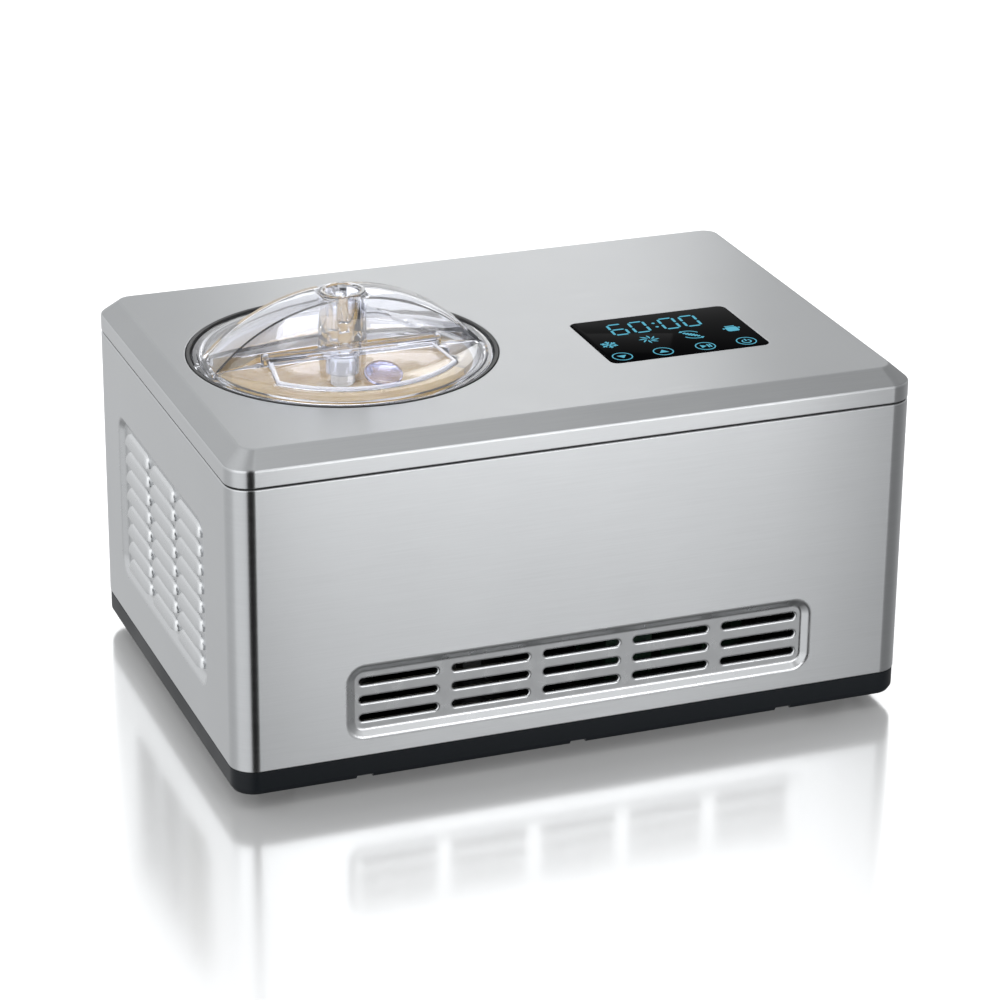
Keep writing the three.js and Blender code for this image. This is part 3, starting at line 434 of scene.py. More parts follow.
def moulded(name, color, roughness, grain=2200, depth=0.012, **values):
    plastic = Finish(name, Roughness=roughness, **values)
    texture = plastic.grain(grain, (1, 1, 1), 2.0)
    patches = plastic.grain(14, (1, 1, 1), 2.0)
    plastic.feed("Base_Color", plastic.blend(patches, tuple(0.88 * c for c in color), color))
    plastic.feed("Roughness", plastic.spread(patches, roughness - 0.04, roughness + 0.05))
    return plastic.bump(texture, depth, 0.6).material


def clear_plastic(name, tint, roughness=0.02, clarity=0.985):
    """Clear moulding with faint flow marks. Lamps shine through it, so it casts little shade."""
    clear = Finish(name, Roughness=roughness, IOR=1.49, Transmission_Weight=clarity,
                   Specular_IOR_Level=0.6)
    flow = clear.grain(30, (1, 1, 2), 2.0)
    clear.feed("Base_Color", clear.blend(flow, tint, tuple(min(1, 1.02 * c) for c in tint)))
    clear.bump(flow, 0.05, 0.25)
    rays = clear.node("LightPath")
    through = clear.node("BsdfTransparent", Color=(0.93, 0.94, 0.96, 1))
    clear.mix_in(rays.outputs["Is Shadow Ray"], through)
    return clear.material


def glowing(name, color, strength):
    """Backlit symbol: its print is a little uneven."""
    lit = Finish(name, Roughness=0.5, IOR=1.02, Emission_Strength=strength, Base_Color=(0, 0, 0, 1))
    print_grain = lit.grain(900, (1, 1, 1), 2.0)
    lit.feed("Emission_Color", lit.blend(print_grain, tuple(0.8 * c for c in color), color))
    return lit.material


def frozen_cream():
    cream = Finish("ice_cream", Roughness=0.42, Subsurface_Weight=0.2, Subsurface_Scale=0.004,
                   Subsurface_Radius=(1.0, 0.7, 0.4))
    folds = cream.grain(34, (0.7, 2.0, 3), 5.0, 0.6)
    crystals = cream.grain(650, (1, 1, 1), 4.0, 0.7)
    cream.feed("Base_Color", cream.blend(folds, (0.19, 0.088, 0.016), (0.44, 0.31, 0.092)))
    cream.feed("Roughness", cream.spread(crystals, 0.32, 0.55))
    return cream.bump(crystals, 0.15, 0.6).material


def circuit():
    board = Finish("circuit_board", Roughness=0.4)
    tracks = board.node("TexBrick", Vector=board.coordinates, Scale=120.0, Mortar_Size=0.01)
    tracks.inputs["Color1"].default_value = (0.004, 0.025, 0.012, 1)
    tracks.inputs["Color2"].default_value = (0.006, 0.033, 0.015, 1)
    tracks.inputs["Mortar"].default_value = (0.05, 0.07, 0.035, 1)
    return board.feed("Base_Color", tracks.outputs["Color"]).material


WRAP_STEEL = brushed("brushed_wrap", (0.02, 0.02, 1), (0, 0, 1))
# Painted shade: the top cover's deck and chamfers get a darker copy of the wrap's brushed steel.
SHADED_COVER_STEEL = brushed("brushed_cover_painted_shade", (0.02, 1, 1), (0, 1, 0.3), (0.345, 0.351, 0.357))
PRESSED_STEEL = cast_metal("pressed_steel", (0.58, 0.59, 0.6), 0.3, 120, 0.001)
REAR_STEEL = brushed("brushed_rear", (0.02, 0.02, 1), (0, 0, 1), (0.42, 0.425, 0.43), 0.4)
ZINC = cast_metal("zinc_sheet", (0.55, 0.56, 0.58), 0.42, 90)
ALUMINIUM = cast_metal("aluminium", (0.62, 0.62, 0.62), 0.3, 1500)
COPPER = cast_metal("copper", (0.72, 0.36, 0.22), 0.3, 240)
BLACK_PAINT = moulded("black_paint", (0.018, 0.018, 0.02), 0.32, 900)
BASE_PLASTIC = moulded("base_plastic", (0.006, 0.008, 0.0105), 0.42, Specular_IOR_Level=0.2)
BLACK_PLASTIC = moulded("black_plastic", (0.012, 0.013, 0.014), 0.45)
RUBBER = moulded("rubber", (0.008, 0.0085, 0.009), 0.55, 1400, 0.03)
WHITE_PLASTIC = moulded("white_plastic", (0.78, 0.79, 0.78), 0.35)
FOAM = moulded("foam", (0.75, 0.68, 0.48), 0.9, 700, 0.4)
CLEAR = clear_plastic("clear_plastic", (0.93, 0.94, 0.985))
TINTED = clear_plastic("tinted_clear", (0.70, 0.70, 0.93))
FROSTED = clear_plastic("frosted_edge", (0.93, 0.93, 0.97), 0.16, 0.7)
PANEL_GLASS = moulded("panel_glass", (0.001, 0.001, 0.0012), 0.07, 300, 0.001, IOR=1.02)
GLOW = glowing("display_glow", (0.13, 0.50, 0.66), 1.0)
CREAM = frozen_cream()
CIRCUIT = circuit()

# Housing


def on_front(u, v, d=0.0):
    return (u, -HALF_DEPTH + d, v)


def on_back(u, v, d=0.0):
    return (-u, HALF_DEPTH - d, v)


def on_left(u, v, d=0.0):
    return (-HALF_WIDTH + d, -u, v)


def on_right(u, v, d=0.0):
    return (HALF_WIDTH - d, u, v)


def on_deck(u, v, d=0.0):
    return (u, v, DECK - d)


def centres(vent):
    """Middles of a vent's openings, row by row."""
    (pu, pv), columns, rows = vent["pitch"], vent["columns"], vent["rows"]
    return [(vent["x"] + (i - (columns - 1) / 2) * pu, vent["z"] + (j - (rows - 1) / 2) * pv)
            for j in range(rows) for i in range(columns)]


def pressed_ring(form, outline, profile, place):
    """Lofts an edge: profile holds (grow, depth) pairs and outline(grow) gives the loop."""
    form.loft([[place(u, v, d) for u, v in outline(grow)] for grow, d in profile])
    return outline(profile[0][0])


def slot_edge(form, vent, u, v, floor, place):
    """A slot with a rolled lip. Returns the loop that the sheet round it ends on."""
    half_w, half_h = vent["slot"][0] / 2, vent["slot"][1] / 2
    lip = 1.3
    path = [(lip + 0.4, floor), (0, floor), (0, floor + 2.6)]
    profile = softened(path, [lip], 5)
    return pressed_ring(
        form, lambda grow: rounded(half_w + grow, half_h + grow, half_h + grow - 0.01, 7, u, v),
        profile, place)


def dish(form, vent, place):
    """The sloping border of a pressed dish. Returns its outer loop and the loop round its floor."""
    def outline(grow):
        return rounded(vent["width"] / 2 + grow, vent["height"] / 2 + grow, DISH_RADIUS + grow, 8,
                       vent["x"], vent["z"])
    path = [(DISH_BORDER + 1.3, 0), (DISH_BORDER, 0), (0, DISH_DEPTH), (-1.1, DISH_DEPTH)]
    profile = softened(path, [4.2, 3.4], 6)
    pressed_ring(form, outline, profile, place)
    return outline(profile[0][0]), outline(profile[-1][0])


def louvre(form, vent, u, v, place):
    """A hood pressed out over its opening, open underneath. Returns its footprint."""
    length, tall = vent["louvre"]
    end, steps, rise = 5.5, 36, 2.9
    low = v - tall / 2
    columns = []
    for i in range(steps + 1):
        # Stations crowd towards the round ends.
        s = -cos(pi * i / steps) * length / 2
        inside = max(0.0, abs(s) - (length / 2 - end)) / end
        bow = sqrt(max(0.0, 1 - inside ** 2))
        crown = low + 0.02 + (tall - 0.02) * bow
        column = []
        for k in range(9):
            t = k / 8
            lift = rise * bow * sin(t * pi / 2) ** 0.8
            column.append((u + s, crown + (low - crown) * t, DISH_DEPTH - lift))
        columns.append(column)
    form.loft([[place(*p) for p in column] for column in reversed(columns)], closed=False)
    foot = [(c[0][0], c[0][1]) for c in reversed(columns)]
    return [(u - length / 2, low), (u + length / 2, low)] + foot[1:-1]


def front_vent(form):
    """Slotted dish in the front. Returns the loop that the wall round it ends on."""
    start = len(form.faces)
    outer, inner = dish(form, FRONT_VENT, on_front)
    slots = [slot_edge(form, FRONT_VENT, u, v, DISH_DEPTH, on_front) for u,
             v in centres(FRONT_VENT)]
    form.fill(inner, slots, lambda u, v: on_front(u, v, DISH_DEPTH)).mark(start)
    return outer


def side_vent(form, vent, place):
    """Louvred dish in a side. Returns the loop that the wall round it ends on."""
    start = len(form.faces)
    outer, inner = dish(form, vent, place)
    hoods = [louvre(form, vent, u, v, place) for u, v in centres(vent)]
    form.fill(inner, hoods, lambda u, v: place(u, v, DISH_DEPTH)).mark(start)
    return outer


def housing_wrap():
    form = Form()
    low, high = WRAP[0].z, WRAP[1].z
    roll = 0.9
    bottom, top = low + roll, high - roll
    top_roll = softened([(0, top - 0.2), (0, high), (2, high)], [roll], 5)[1:]
    form.loft([footprint(inset, z) for inset, z in top_roll])
    form.loft([footprint(2, low), *[footprint(roll - roll * sin(a), bottom - roll * cos(a))
               for a in (0, 0.4, 0.8, 1.2, pi / 2)]])
    joint = top_roll[0][1]
    ring = footprint(0, 0)
    n = CORNER_STEPS + 1
    for k in range(4):
        corner = [(x, y) for x, y, _ in ring[k * n:(k + 1) * n]]
        form.loft([[(x, y, z) for x, y in corner] for z in (bottom, joint)], closed=False)

    def wall(half, place, holes):
        form.fill([(-half, bottom), (half, bottom), (half, joint), (-half, joint)], holes, place)

    across, along = HALF_WIDTH - CORNER, HALF_DEPTH - CORNER
    wall(across, on_front, [front_vent(form)])
    for place, side in ((on_left, 1), (on_right, -1)):
        wall(along, place, [side_vent(form, dict(SIDE_VENT, x=side * SIDE_VENT["x"]), place)])
    window_low, window_high = low + 12, high - 12
    middle, tall = (window_low + window_high) / 2, (window_high - window_low) / 2
    edge = softened([(2, 0), (0, 0), (0, 1.3)], [0.7], 4)
    window = pressed_ring(
        form, lambda grow: rounded(HALF_WIDTH - 32 + grow, tall + grow, 4 + grow, 6, 0, middle),
        edge, on_back)
    screws = []
    for screw in REAR_SCREWS:
        (x, _, z), _ = middle_and_half(screw)
        screws.append(pressed_ring(form, lambda grow, u=-x, v=z: circle(4.5 + grow, 32, u, v),
                                   [(0.4, 0), (0, 0.1), (-1.9, 1.3)], on_back))
    wall(across, on_back, [window, *screws])
    return piece("steel_housing", form, WRAP_STEEL, "base", ["housing_wrap"],
                 sheet=0.9, second=PRESSED_STEEL)


def rear_panel():
    form = Form()
    back = HALF_DEPTH - REAR[1].y
    (_, _, middle), (_, _, tall) = middle_and_half(REAR)
    holes = [slot_edge(form, REAR_VENT, u, v, back, on_back) for u, v in centres(REAR_VENT)]
    (x, _, z), (half_w, _, half_h) = middle_and_half(INLET)
    holes.append(rounded(half_w + 0.3, half_h + 0.3, 2, 5, -x, z))
    for screw in REAR_SCREWS:
        (x, _, z), _ = middle_and_half(screw)
        holes.append(circle(2.4, 24, -x, z))
    form.fill(rounded(REAR[1].x, tall, 4, 6, 0, middle), holes, lambda u, v: on_back(u, v, back))
    return piece("rear_grille", form, REAR_STEEL, "base", ["rear_panel"], sheet=1.3)


def rear_screws():
    """Countersunk screws with a cross recess."""
    for index, screw in enumerate(REAR_SCREWS, 1):
        form = Form().turn([(0, 0), (3.0, 0), (3.7, -0.25), (3.8, -0.5), (2, -1.6), (2, -6.9),
                            (0, -7)],
                           40, closed=False)
        recess = Form()
        for turn in (0, 1):
            arm = rounded(2.1 if turn else 0.45, 0.45 if turn else 2.1, 0.2, 3)
            recess.prism(arm, -1.3 + 0.01 * turn, 1)
        made = piece(f"screw_{index}", form, BLACK_PAINT, "base", [f"rear_screw_{index}"])
        carve(made, recess)
        (x, _, z), _ = middle_and_half(screw)
        facing = Matrix.Rotation(radians(-90), 4, "X")
        made.data.transform(placed(x, screw[1].y - 0.1, z) @ facing)
        dress(made, BLACK_PAINT)


def top_cover():
    form = Form()
    low = COVER[0].z
    side = DECK - CHAMFER_RISE
    path = [(2, low), (0, low), (0, side), (CHAMFER_INSET, DECK), (CHAMFER_INSET + 3.2, DECK)]
    profile = softened(path, [0.7, 2.6, 2.2], 7)
    form.loft([footprint(inset, z, 0.6) for inset, z in profile])
    # The cover's upright band keeps the wrap's steel. The chamfers and deck above it carry the
    # darker copy, which is painted shade.
    form.marked = [i for i, face in enumerate(form.faces)
                   if max(form.points[k][2] for k in face) < side + 0.4]
    deck_edge = [p[:2] for p in footprint(profile[-1][0], DECK, 0.6)]
    down = softened([(1.4, 0), (0, 0), (0, 2.2)], [0.7], 4)
    bowl_hole = pressed_ring(form, lambda grow: circle(COLLAR_OUTER + 0.3 + grow, 160, *BOWL_AXIS),
                             down, on_deck)
    middle, (half_w, half_h, _) = (GLASS[0] + GLASS[1]) / 2, middle_and_half(GLASS)[1]
    window = pressed_ring(
        form, lambda grow: rounded(half_w + 0.25 + grow, half_h + 0.25 + grow, 5 + grow, 8,
                                   middle.x, middle.y),
        softened([(1.2, 0), (0, 0), (0, 2.2)], [0.5], 4), on_deck)
    form.fill(deck_edge, [bowl_hole, window], on_deck)
    return piece("steel_cover", form, SHADED_COVER_STEEL, "base", ["top_cover"],
                 sheet=1.0, second=WRAP_STEEL)


def base_tray():
    form = Form()
    low, high = BASE[0].z, WRAP[0].z - 0.3
    rim = low + 2.7
    notch = 1.3
    edges = [side * NOTCH_PITCH + end for side in (-1, 0, 1) for end in (-NOTCH_HALF, NOTCH_HALF)]

    def ring(inset, z, cut=0.0):
        """One loop of the base. The three notches in its front rim lift it by cut."""
        points = footprint(inset, z, 1.0)
        y = points[-1][1]
        for k, x in enumerate(edges):
            first, second = (z, z + cut) if k % 2 == 0 else (z + cut, z)
            points += [(x, y, first), (x, y, second)]
        return points

    inner = 11
    profile = [(inner, high), (3, high), (0.9, high), (0.4, high - 0.5), (0.4, rim + 0.8),
               (0.55, rim)]
    rings = [ring(inset, z) for inset, z in profile]
    rings.append(ring(2.6 - 0.5, low + 0.2, notch))
    rings.append(ring(2.6 + 0.4, low, notch))
    rings.append(ring(inner, low, notch))
    rings.append(ring(inner, low + 2.5))
    form.loft(rings[::-1])
    form.cap(ring(inner, low + 2.5), True)
    return piece("base_pan", form, BASE_PLASTIC, "base", ["base_tray"], sharp=25)


def feet():
    height = FOOT[1].z - FOOT[0].z
    radius = (FOOT[1].x - FOOT[0].x) / 2
    for index in range(1, 5):
        (x, y, _), _ = middle_and_half(box_mm(f"foot_{index}"))
        form = Form().turn([(4.6, 4), (4.6, 0), (radius - 2.4, 0), (radius - 0.6, 0.4),
                            (radius, 1.6), (radius - 0.4, height - 1), (radius - 1, height),
                            (2.3, height), (2.3, 4)], 56)
        form.shift(x, y, 0)
        piece(f"rubber_foot_{index}", form, RUBBER, "base", [f"foot_{index}"])


def mains_inlet():
    """Three-pin appliance inlet with its cut-cornered well."""
    (middle_x, _, middle_z), (half_w, _, half_h) = middle_and_half(INLET)
    deep = INLET[0].y - INLET[1].y
    well = [(-12.5, -10.5), (12.5, -10.5), (12.5, 5.5), (7.5, 10.5), (-7.5, 10.5), (-12.5, 5.5)]

    def soft(outline, grow):
        return [(x * (1 + grow / 12.5), y * (1 + grow / 10.5)) for x, y in outline]

    form = Form()
    front = [(x, y, 0) for x, y in rounded(half_w - 0.5, half_h - 0.5, 2.5, 5)]
    shoulder = [(x, y, -0.5) for x, y in rounded(half_w, half_h, 3, 5)]
    tail = [(x, y, deep) for x, y in rounded(half_w, half_h, 3, 5)]
    form.loft([tail, shoulder, front]).cap(tail, True)
    form.fill([p[:2] for p in front], [soft(well, 0.5)], lambda u, v: (u, v, 0))
    form.loft([[(x, y, z) for x, y in soft(well, grow)] for grow,
               z in ((0.5, 0), (0, -0.5), (0, deep + 4))])
    form.cap([(x, y, deep + 4) for x, y in well])
    turn = Matrix.Rotation(radians(90), 4, "X") @ Matrix.Rotation(pi, 4, "Y")
    place = placed(middle_x, INLET[1].y, middle_z) @ turn
    body = piece("inlet_socket", form, BLACK_PLASTIC, "base", ["mains_inlet"],
                 sharp=30)
    body.data.transform(place)
    pins = Form()
    for x, y in ((-7, -4), (7, -4), (0, 4)):
        pins.prism([(x + a, y + b) for a, b in rounded(1.0, 2.4, 0.3, 2)], deep + 3.9, -4.5)
    blades = piece("inlet_pins", pins, cast_metal("pin_metal", (0.7, 0.68, 0.62), 0.25), "base")
    blades.data.transform(place)
    bevel(blades, 0.3)


# Bowl unit, in a frame on the bowl's axis at the deck's height


def at_bowl(form):
    return form.shift(BOWL_AXIS[0], BOWL_AXIS[1], DECK)


def collar():
    foot = COLLAR[0].z - DECK
    ledge = RIM_RADIUS + 0.8
    profile = [(ledge, foot), (COLLAR_OUTER - 1.4, foot), (COLLAR_OUTER - 1.4, -3.6),
               (COLLAR_OUTER + 5.6, -3.6), (COLLAR_OUTER + 5.6, -1.6), (COLLAR_OUTER, -1.6),
               (COLLAR_OUTER, 0.0), (COLLAR_OUTER - 0.3, 0.3), (COLLAR_INNER + 0.9, 0.3),
               (COLLAR_INNER + 0.3, 0.1), (COLLAR_INNER, -0.4), (COLLAR_INNER, LID_SEAT - 0.3),
               (ledge, LID_SEAT - 0.3)]
    piece("bowl_gasket", at_bowl(Form().turn(profile, 160)), RUBBER, "base", ["bowl_collar"])


def bowl():
    outer, floor, under = BOWL_RADIUS + BOWL_WALL, BOWL_FLOOR, BOWL_FLOOR - BOWL_WALL
    sleeve, top = 5.8, BOWL_FLOOR + 40
    inside = softened([(BOWL_RADIUS, BOWL_RIM - 1), (BOWL_RADIUS, floor), (20, floor)], [7],
                      8)[1:-1]
    profile = [(sleeve, under), (outer - 7, under), (outer - 2, floor + 0.6),
               (outer, floor + 5.5), (outer, BOWL_RIM - 1.5), (RIM_RADIUS - 0.4, BOWL_RIM - 1.5),
               (RIM_RADIUS, BOWL_RIM - 1.1), (RIM_RADIUS, BOWL_RIM - 0.4),
               (RIM_RADIUS - 0.4, BOWL_RIM), (BOWL_RADIUS + 1, BOWL_RIM),
               (BOWL_RADIUS + 0.3, BOWL_RIM - 0.25), (BOWL_RADIUS, BOWL_RIM - 1), *inside,
               (sleeve + 4.5, floor), (sleeve + 2.4, floor + 1), (sleeve + 1.5, floor + 3),
               (sleeve + 1.5, top - 0.5), (sleeve + 1.1, top), (sleeve, top)]
    piece("inner_bowl", at_bowl(Form().turn(profile, 144)), ALUMINIUM, "bowl", ["bowl"])


def well():
    floor = WELL[0].z - DECK
    outer = BOWL_RADIUS + BOWL_WALL + WELL_GAP + WELL_WALL
    top = WELL[1].z - DECK
    profile = [(9, floor), (outer - 3, floor), (outer, floor + 3), (outer, top - 1.5),
               (RIM_RADIUS + 2.8, top - 1.5), (RIM_RADIUS + 2.8, top), (outer - 0.8, top),
               (outer - 1.5, top - 0.7), (outer - 1.5, floor + 4.5), (outer - 4.5, floor + 1.5),
               (9, floor + 1.5)]
    piece("cooling_well", at_bowl(Form().turn(profile, 128)), ALUMINIUM, "base",
          ["evaporator_well"])


def shaft():
    low, high = SHAFT
    step = high.z - 12
    made = piece("drive_spindle", Form().turn([(0, low.z), (4.6, low.z), (5, low.z + 0.4),
                                               (5, step - 0.6),
                 (4.5, step), (0, step)], 48, closed=False).shift(*BOWL_AXIS, 0), ZINC, "drive",
                 ["drive_shaft"])
    head = Form()
    rings = [[(x * k, y * k, z) for x, y in circle(SHAFT_HEX, 6)]
             for k, z in ((1, step - 1), (1, high.z - 0.6), (0.85, high.z))]
    head.solid(rings).shift(*BOWL_AXIS, 0)
    carve(made, head, "UNION")
    dress(made, ZINC)


def paddle():
    """Stirring blade: a hub on the shaft and two open frames with scraping edges."""
    low = PADDLE[0].z - DECK
    neck = BOWL_FLOOR + 41.2
    top = PADDLE[1].z - DECK
    hub = Form().turn([(8.1, low + 3), (11.6, low + 3), (12, low + 3.4), (12, neck + 2),
                       (11.2, neck + 5), (7.9, neck + 14), (7.2, neck + 18), (7.2, top - 1),
                       (6.4, top), (0, top), (0, neck), (8.1, neck)], 64)
    made = piece("stirring_paddle", hub, WHITE_PLASTIC, "paddle", ["paddle"])
    reach = BOWL_RADIUS - 2.4
    blade_top = -40
    outer = [(10.5, low + 4), (16, low), (reach - 5, low), (reach - 1.5, low + 1.5),
             (reach, low + 5),
             (reach, blade_top - 3), (reach - 1, blade_top - 0.9), (reach - 3, blade_top),
             (reach - 20, blade_top), (reach - 24, blade_top - 1.5), (10.5, blade_top - 30)]
    hole = [(17, low + 11), (reach - 23, low + 11), (reach - 16, low + 14), (reach - 11, low + 23),
            (reach - 11, blade_top - 13), (reach - 13, blade_top - 11),
            (reach - 22, blade_top - 11),
            (17, blade_top - 41)]
    for side in (1, -1):
        blade = Form()
        for outline, turned in ((outer, False), (hole, True)):
            loop = [(side * x, z) for x, z in outline]
            blade.loft([[(x, y, z) for x, z in (loop[::-1] if turned else loop)]
                        for y in (-1.5, 1.5)])
        for y in (-1.5, 1.5):
            blade.fill([(side * x, z) for x, z in outer], [[(side * x, z) for x, z in hole]],
                       lambda u, v, y=y: (u, y, v))
        carve(made, blade, "UNION")
    carve(made, Form().prism(circle(SHAFT_HEX + 0.6, 6), neck - 1, neck + 14.5))
    bevel(made, 0.5)
    settle(made, WHITE_PLASTIC)


def ice_cream():
    """Churned ice cream with folds wound round the paddle's stem."""
    form = Form()
    surface, stem, rings, sides = -19.5, 7.6, 70, 200
    reach = BOWL_RADIUS - 0.5

    def height(r, a):
        near = r / reach
        wind = a * 2 + 5.2 * near
        folds = 1.9 * sin(wind) + 1.1 * sin(3 * a - 7.5 * near + 0.8)
        x, y = r * cos(a), r * sin(a)
        crease = abs(noise.noise(Vector((x / 26, y / 17, 1.7)))) * 5.0
        ripple = noise.noise(Vector((x / 9, y / 6, 4.2))) * 0.7
        tilt = 2.4 * cos(a)
        rim = -3.5 * max(0.0, near - 0.86) / 0.14
        return surface + (folds + tilt) * min(1, near * 2) - crease + ripple + rim

    loops = []
    for k in range(rings + 1):
        r = stem + (reach - stem) * k / rings
        loops.append([(r * cos(a), r * sin(a), height(r, a)) for a in
                      (2 * pi * i / sides for i in range(sides))])
    inner, outer = loops[0], loops[-1]
    under = BOWL_FLOOR + 62
    loops = [[(x, y, under) for x, y, _ in inner], *loops, [(x, y, under) for x, y, _ in outer],
             [(x, y, under) for x, y, _ in inner]]
    form.loft(loops)
    piece("ice_cream", at_bowl(form), CREAM, "bowl", sharp=60)


# Lid


def dome_top(r):
    radius = (DOME_EDGE ** 2 + DOME_RISE ** 2) / (2 * DOME_RISE)
    return DOME_BASE + DOME_RISE - radius + sqrt(radius ** 2 - r ** 2)


def hinge_height():
    return dome_top(-HINGE_Y) + HINGE_RADIUS - LID_WALL * 0.3


def dome_profile():
    skirt = RIM_RADIUS - 0.1
    radii = [DOME_EDGE * i / 12 for i in range(13)]
    under = [(r, dome_top(r) - LID_WALL) for r in radii if r < skirt - LID_WALL - 1]
    return [*under, (skirt - LID_WALL, DOME_BASE - LID_WALL), (skirt - LID_WALL, -7),
            (skirt - 2, -7.5),
            (skirt, -7), (skirt, LID_SEAT), (LID_RADIUS, LID_SEAT), (LID_RADIUS, LID_SEAT + 1.9),
            (LID_RADIUS - 0.5, LID_SEAT + LID_WALL), (DOME_EDGE + 0.4, LID_SEAT + LID_WALL),
            (DOME_EDGE, DOME_BASE - 0.3), *[(r, dome_top(r)) for r in reversed(radii[:-1])]]


def bridge_outline(inset, foot, steps=64):
    """Upright arch of the handle, from its right foot over to its left one."""
    span, rise = DOME_EDGE - 2.3, BRIDGE_TOP - DOME_BASE + LID_WALL / 2
    outer = (span ** 2 + rise ** 2) / (2 * rise)
    radius, centre = outer - inset, BRIDGE_TOP - outer
    start = asin((foot - centre) / radius)
    angles = [start + (pi - 2 * start) * i / steps for i in range(steps + 1)]
    return [(radius * cos(a), centre + radius * sin(a)) for a in angles]


def flap_outline(margin, steps=40):
    """The refill flap from above: straight at its hinge, splayed sides and a curved front."""
    back = HINGE_Y + HINGE_RADIUS + margin
    corner, radius = FLAP_CORNER + margin, FLAP_RADIUS + margin
    angle = acos(corner / radius)
    front = [(radius * cos(a), radius * sin(a)) for a in
             (-pi + angle + (pi - 2 * angle) * i / steps for i in range(steps + 1))]
    return [(FLAP_HALF + margin, back), (-FLAP_HALF - margin, back), *front]


def upright(outline, y0, y1):
    """A solid from y0 to y1 over an outline in X and Z."""
    form = Form()
    rings = [[(x, y, z) for x, z in outline] for y in (y0, y1)]
    return form.loft(rings).cap(rings[0]).cap(rings[1], True)


def lid():
    made = piece("clear_lid", Form().turn(dome_profile(), 144), CLEAR, "lid", ["lid"])
    carve(made, upright(bridge_outline(0, DOME_BASE - LID_WALL / 2), -BRIDGE_HALF, BRIDGE_HALF),
          "UNION")
    inset = BRIDGE_HALF - BRIDGE_WALL
    carve(made, upright(bridge_outline(BRIDGE_WALL, -18), -inset, inset))
    rise = DOME_BASE + DOME_RISE
    outer = SOCKET_BORE + 2.4
    tube = [(0, SOCKET_FOOT), (outer, SOCKET_FOOT), (outer, DOME_BASE - 5),
            (outer + 1.2, DOME_BASE - 2.4),
            (BRIDGE_HALF, DOME_BASE + 1), (BRIDGE_HALF, BRIDGE_TOP),
            (BRIDGE_HALF - 0.5, BRIDGE_TOP + 0.5),
            (0, BRIDGE_TOP + 0.5)]
    carve(made, Form().turn(tube, 96, closed=False), "UNION")
    bore = [(0, SOCKET_FOOT - 5), (SOCKET_BORE, SOCKET_FOOT - 5), (SOCKET_BORE, rise - 2),
            (TUBE_BORE - 0.8, rise), (TUBE_BORE, rise + 1.2), (TUBE_BORE, BRIDGE_TOP - 0.4),
            (TUBE_BORE + 0.9, BRIDGE_TOP + 0.6), (TUBE_BORE + 0.9, BRIDGE_TOP + 6),
            (0, BRIDGE_TOP + 6)]
    carve(made, Form().turn(bore, 96, closed=False))
    carve(made, Form().prism(flap_outline(0.3), -9, rise + 5))
    hinge_z = hinge_height()
    reach = FLAP_HALF + 0.3
    carve(made, Form().turn([(0, -reach), (2.7, -reach), (2.7, reach), (0, reach)], 32,
                            closed=False)
          .turned_to_x(HINGE_Y, hinge_z))
    for side in (-1, 1):
        x0 = side * (reach + 1.5)
        low = dome_top(reach - HINGE_Y) - LID_WALL / 2
        ear = rounded(2.6, (hinge_z + 2.4 - low) / 2, 1.6, 5, HINGE_Y, (hinge_z + 2.4 + low) / 2)
        rings = [[(x, y, z) for y, z in ear] for x in (x0 - 1.5, x0 + 1.5)]
        carve(made, Form().solid(rings), "UNION")
        link = Form().prism(rounded(1.5, 2.2, 0.5, 3, x0, HINGE_Y + 3.2), low, hinge_z)
        carve(made, link, "UNION")
        carve(made, Form().turn([(0, -4), (1.4, -4), (1.4, 4), (0, 4)], 24, closed=False)
              .turned_to_x(HINGE_Y, hinge_z, x0))
    bevel(made, 0.25)
    settle(made, CLEAR)


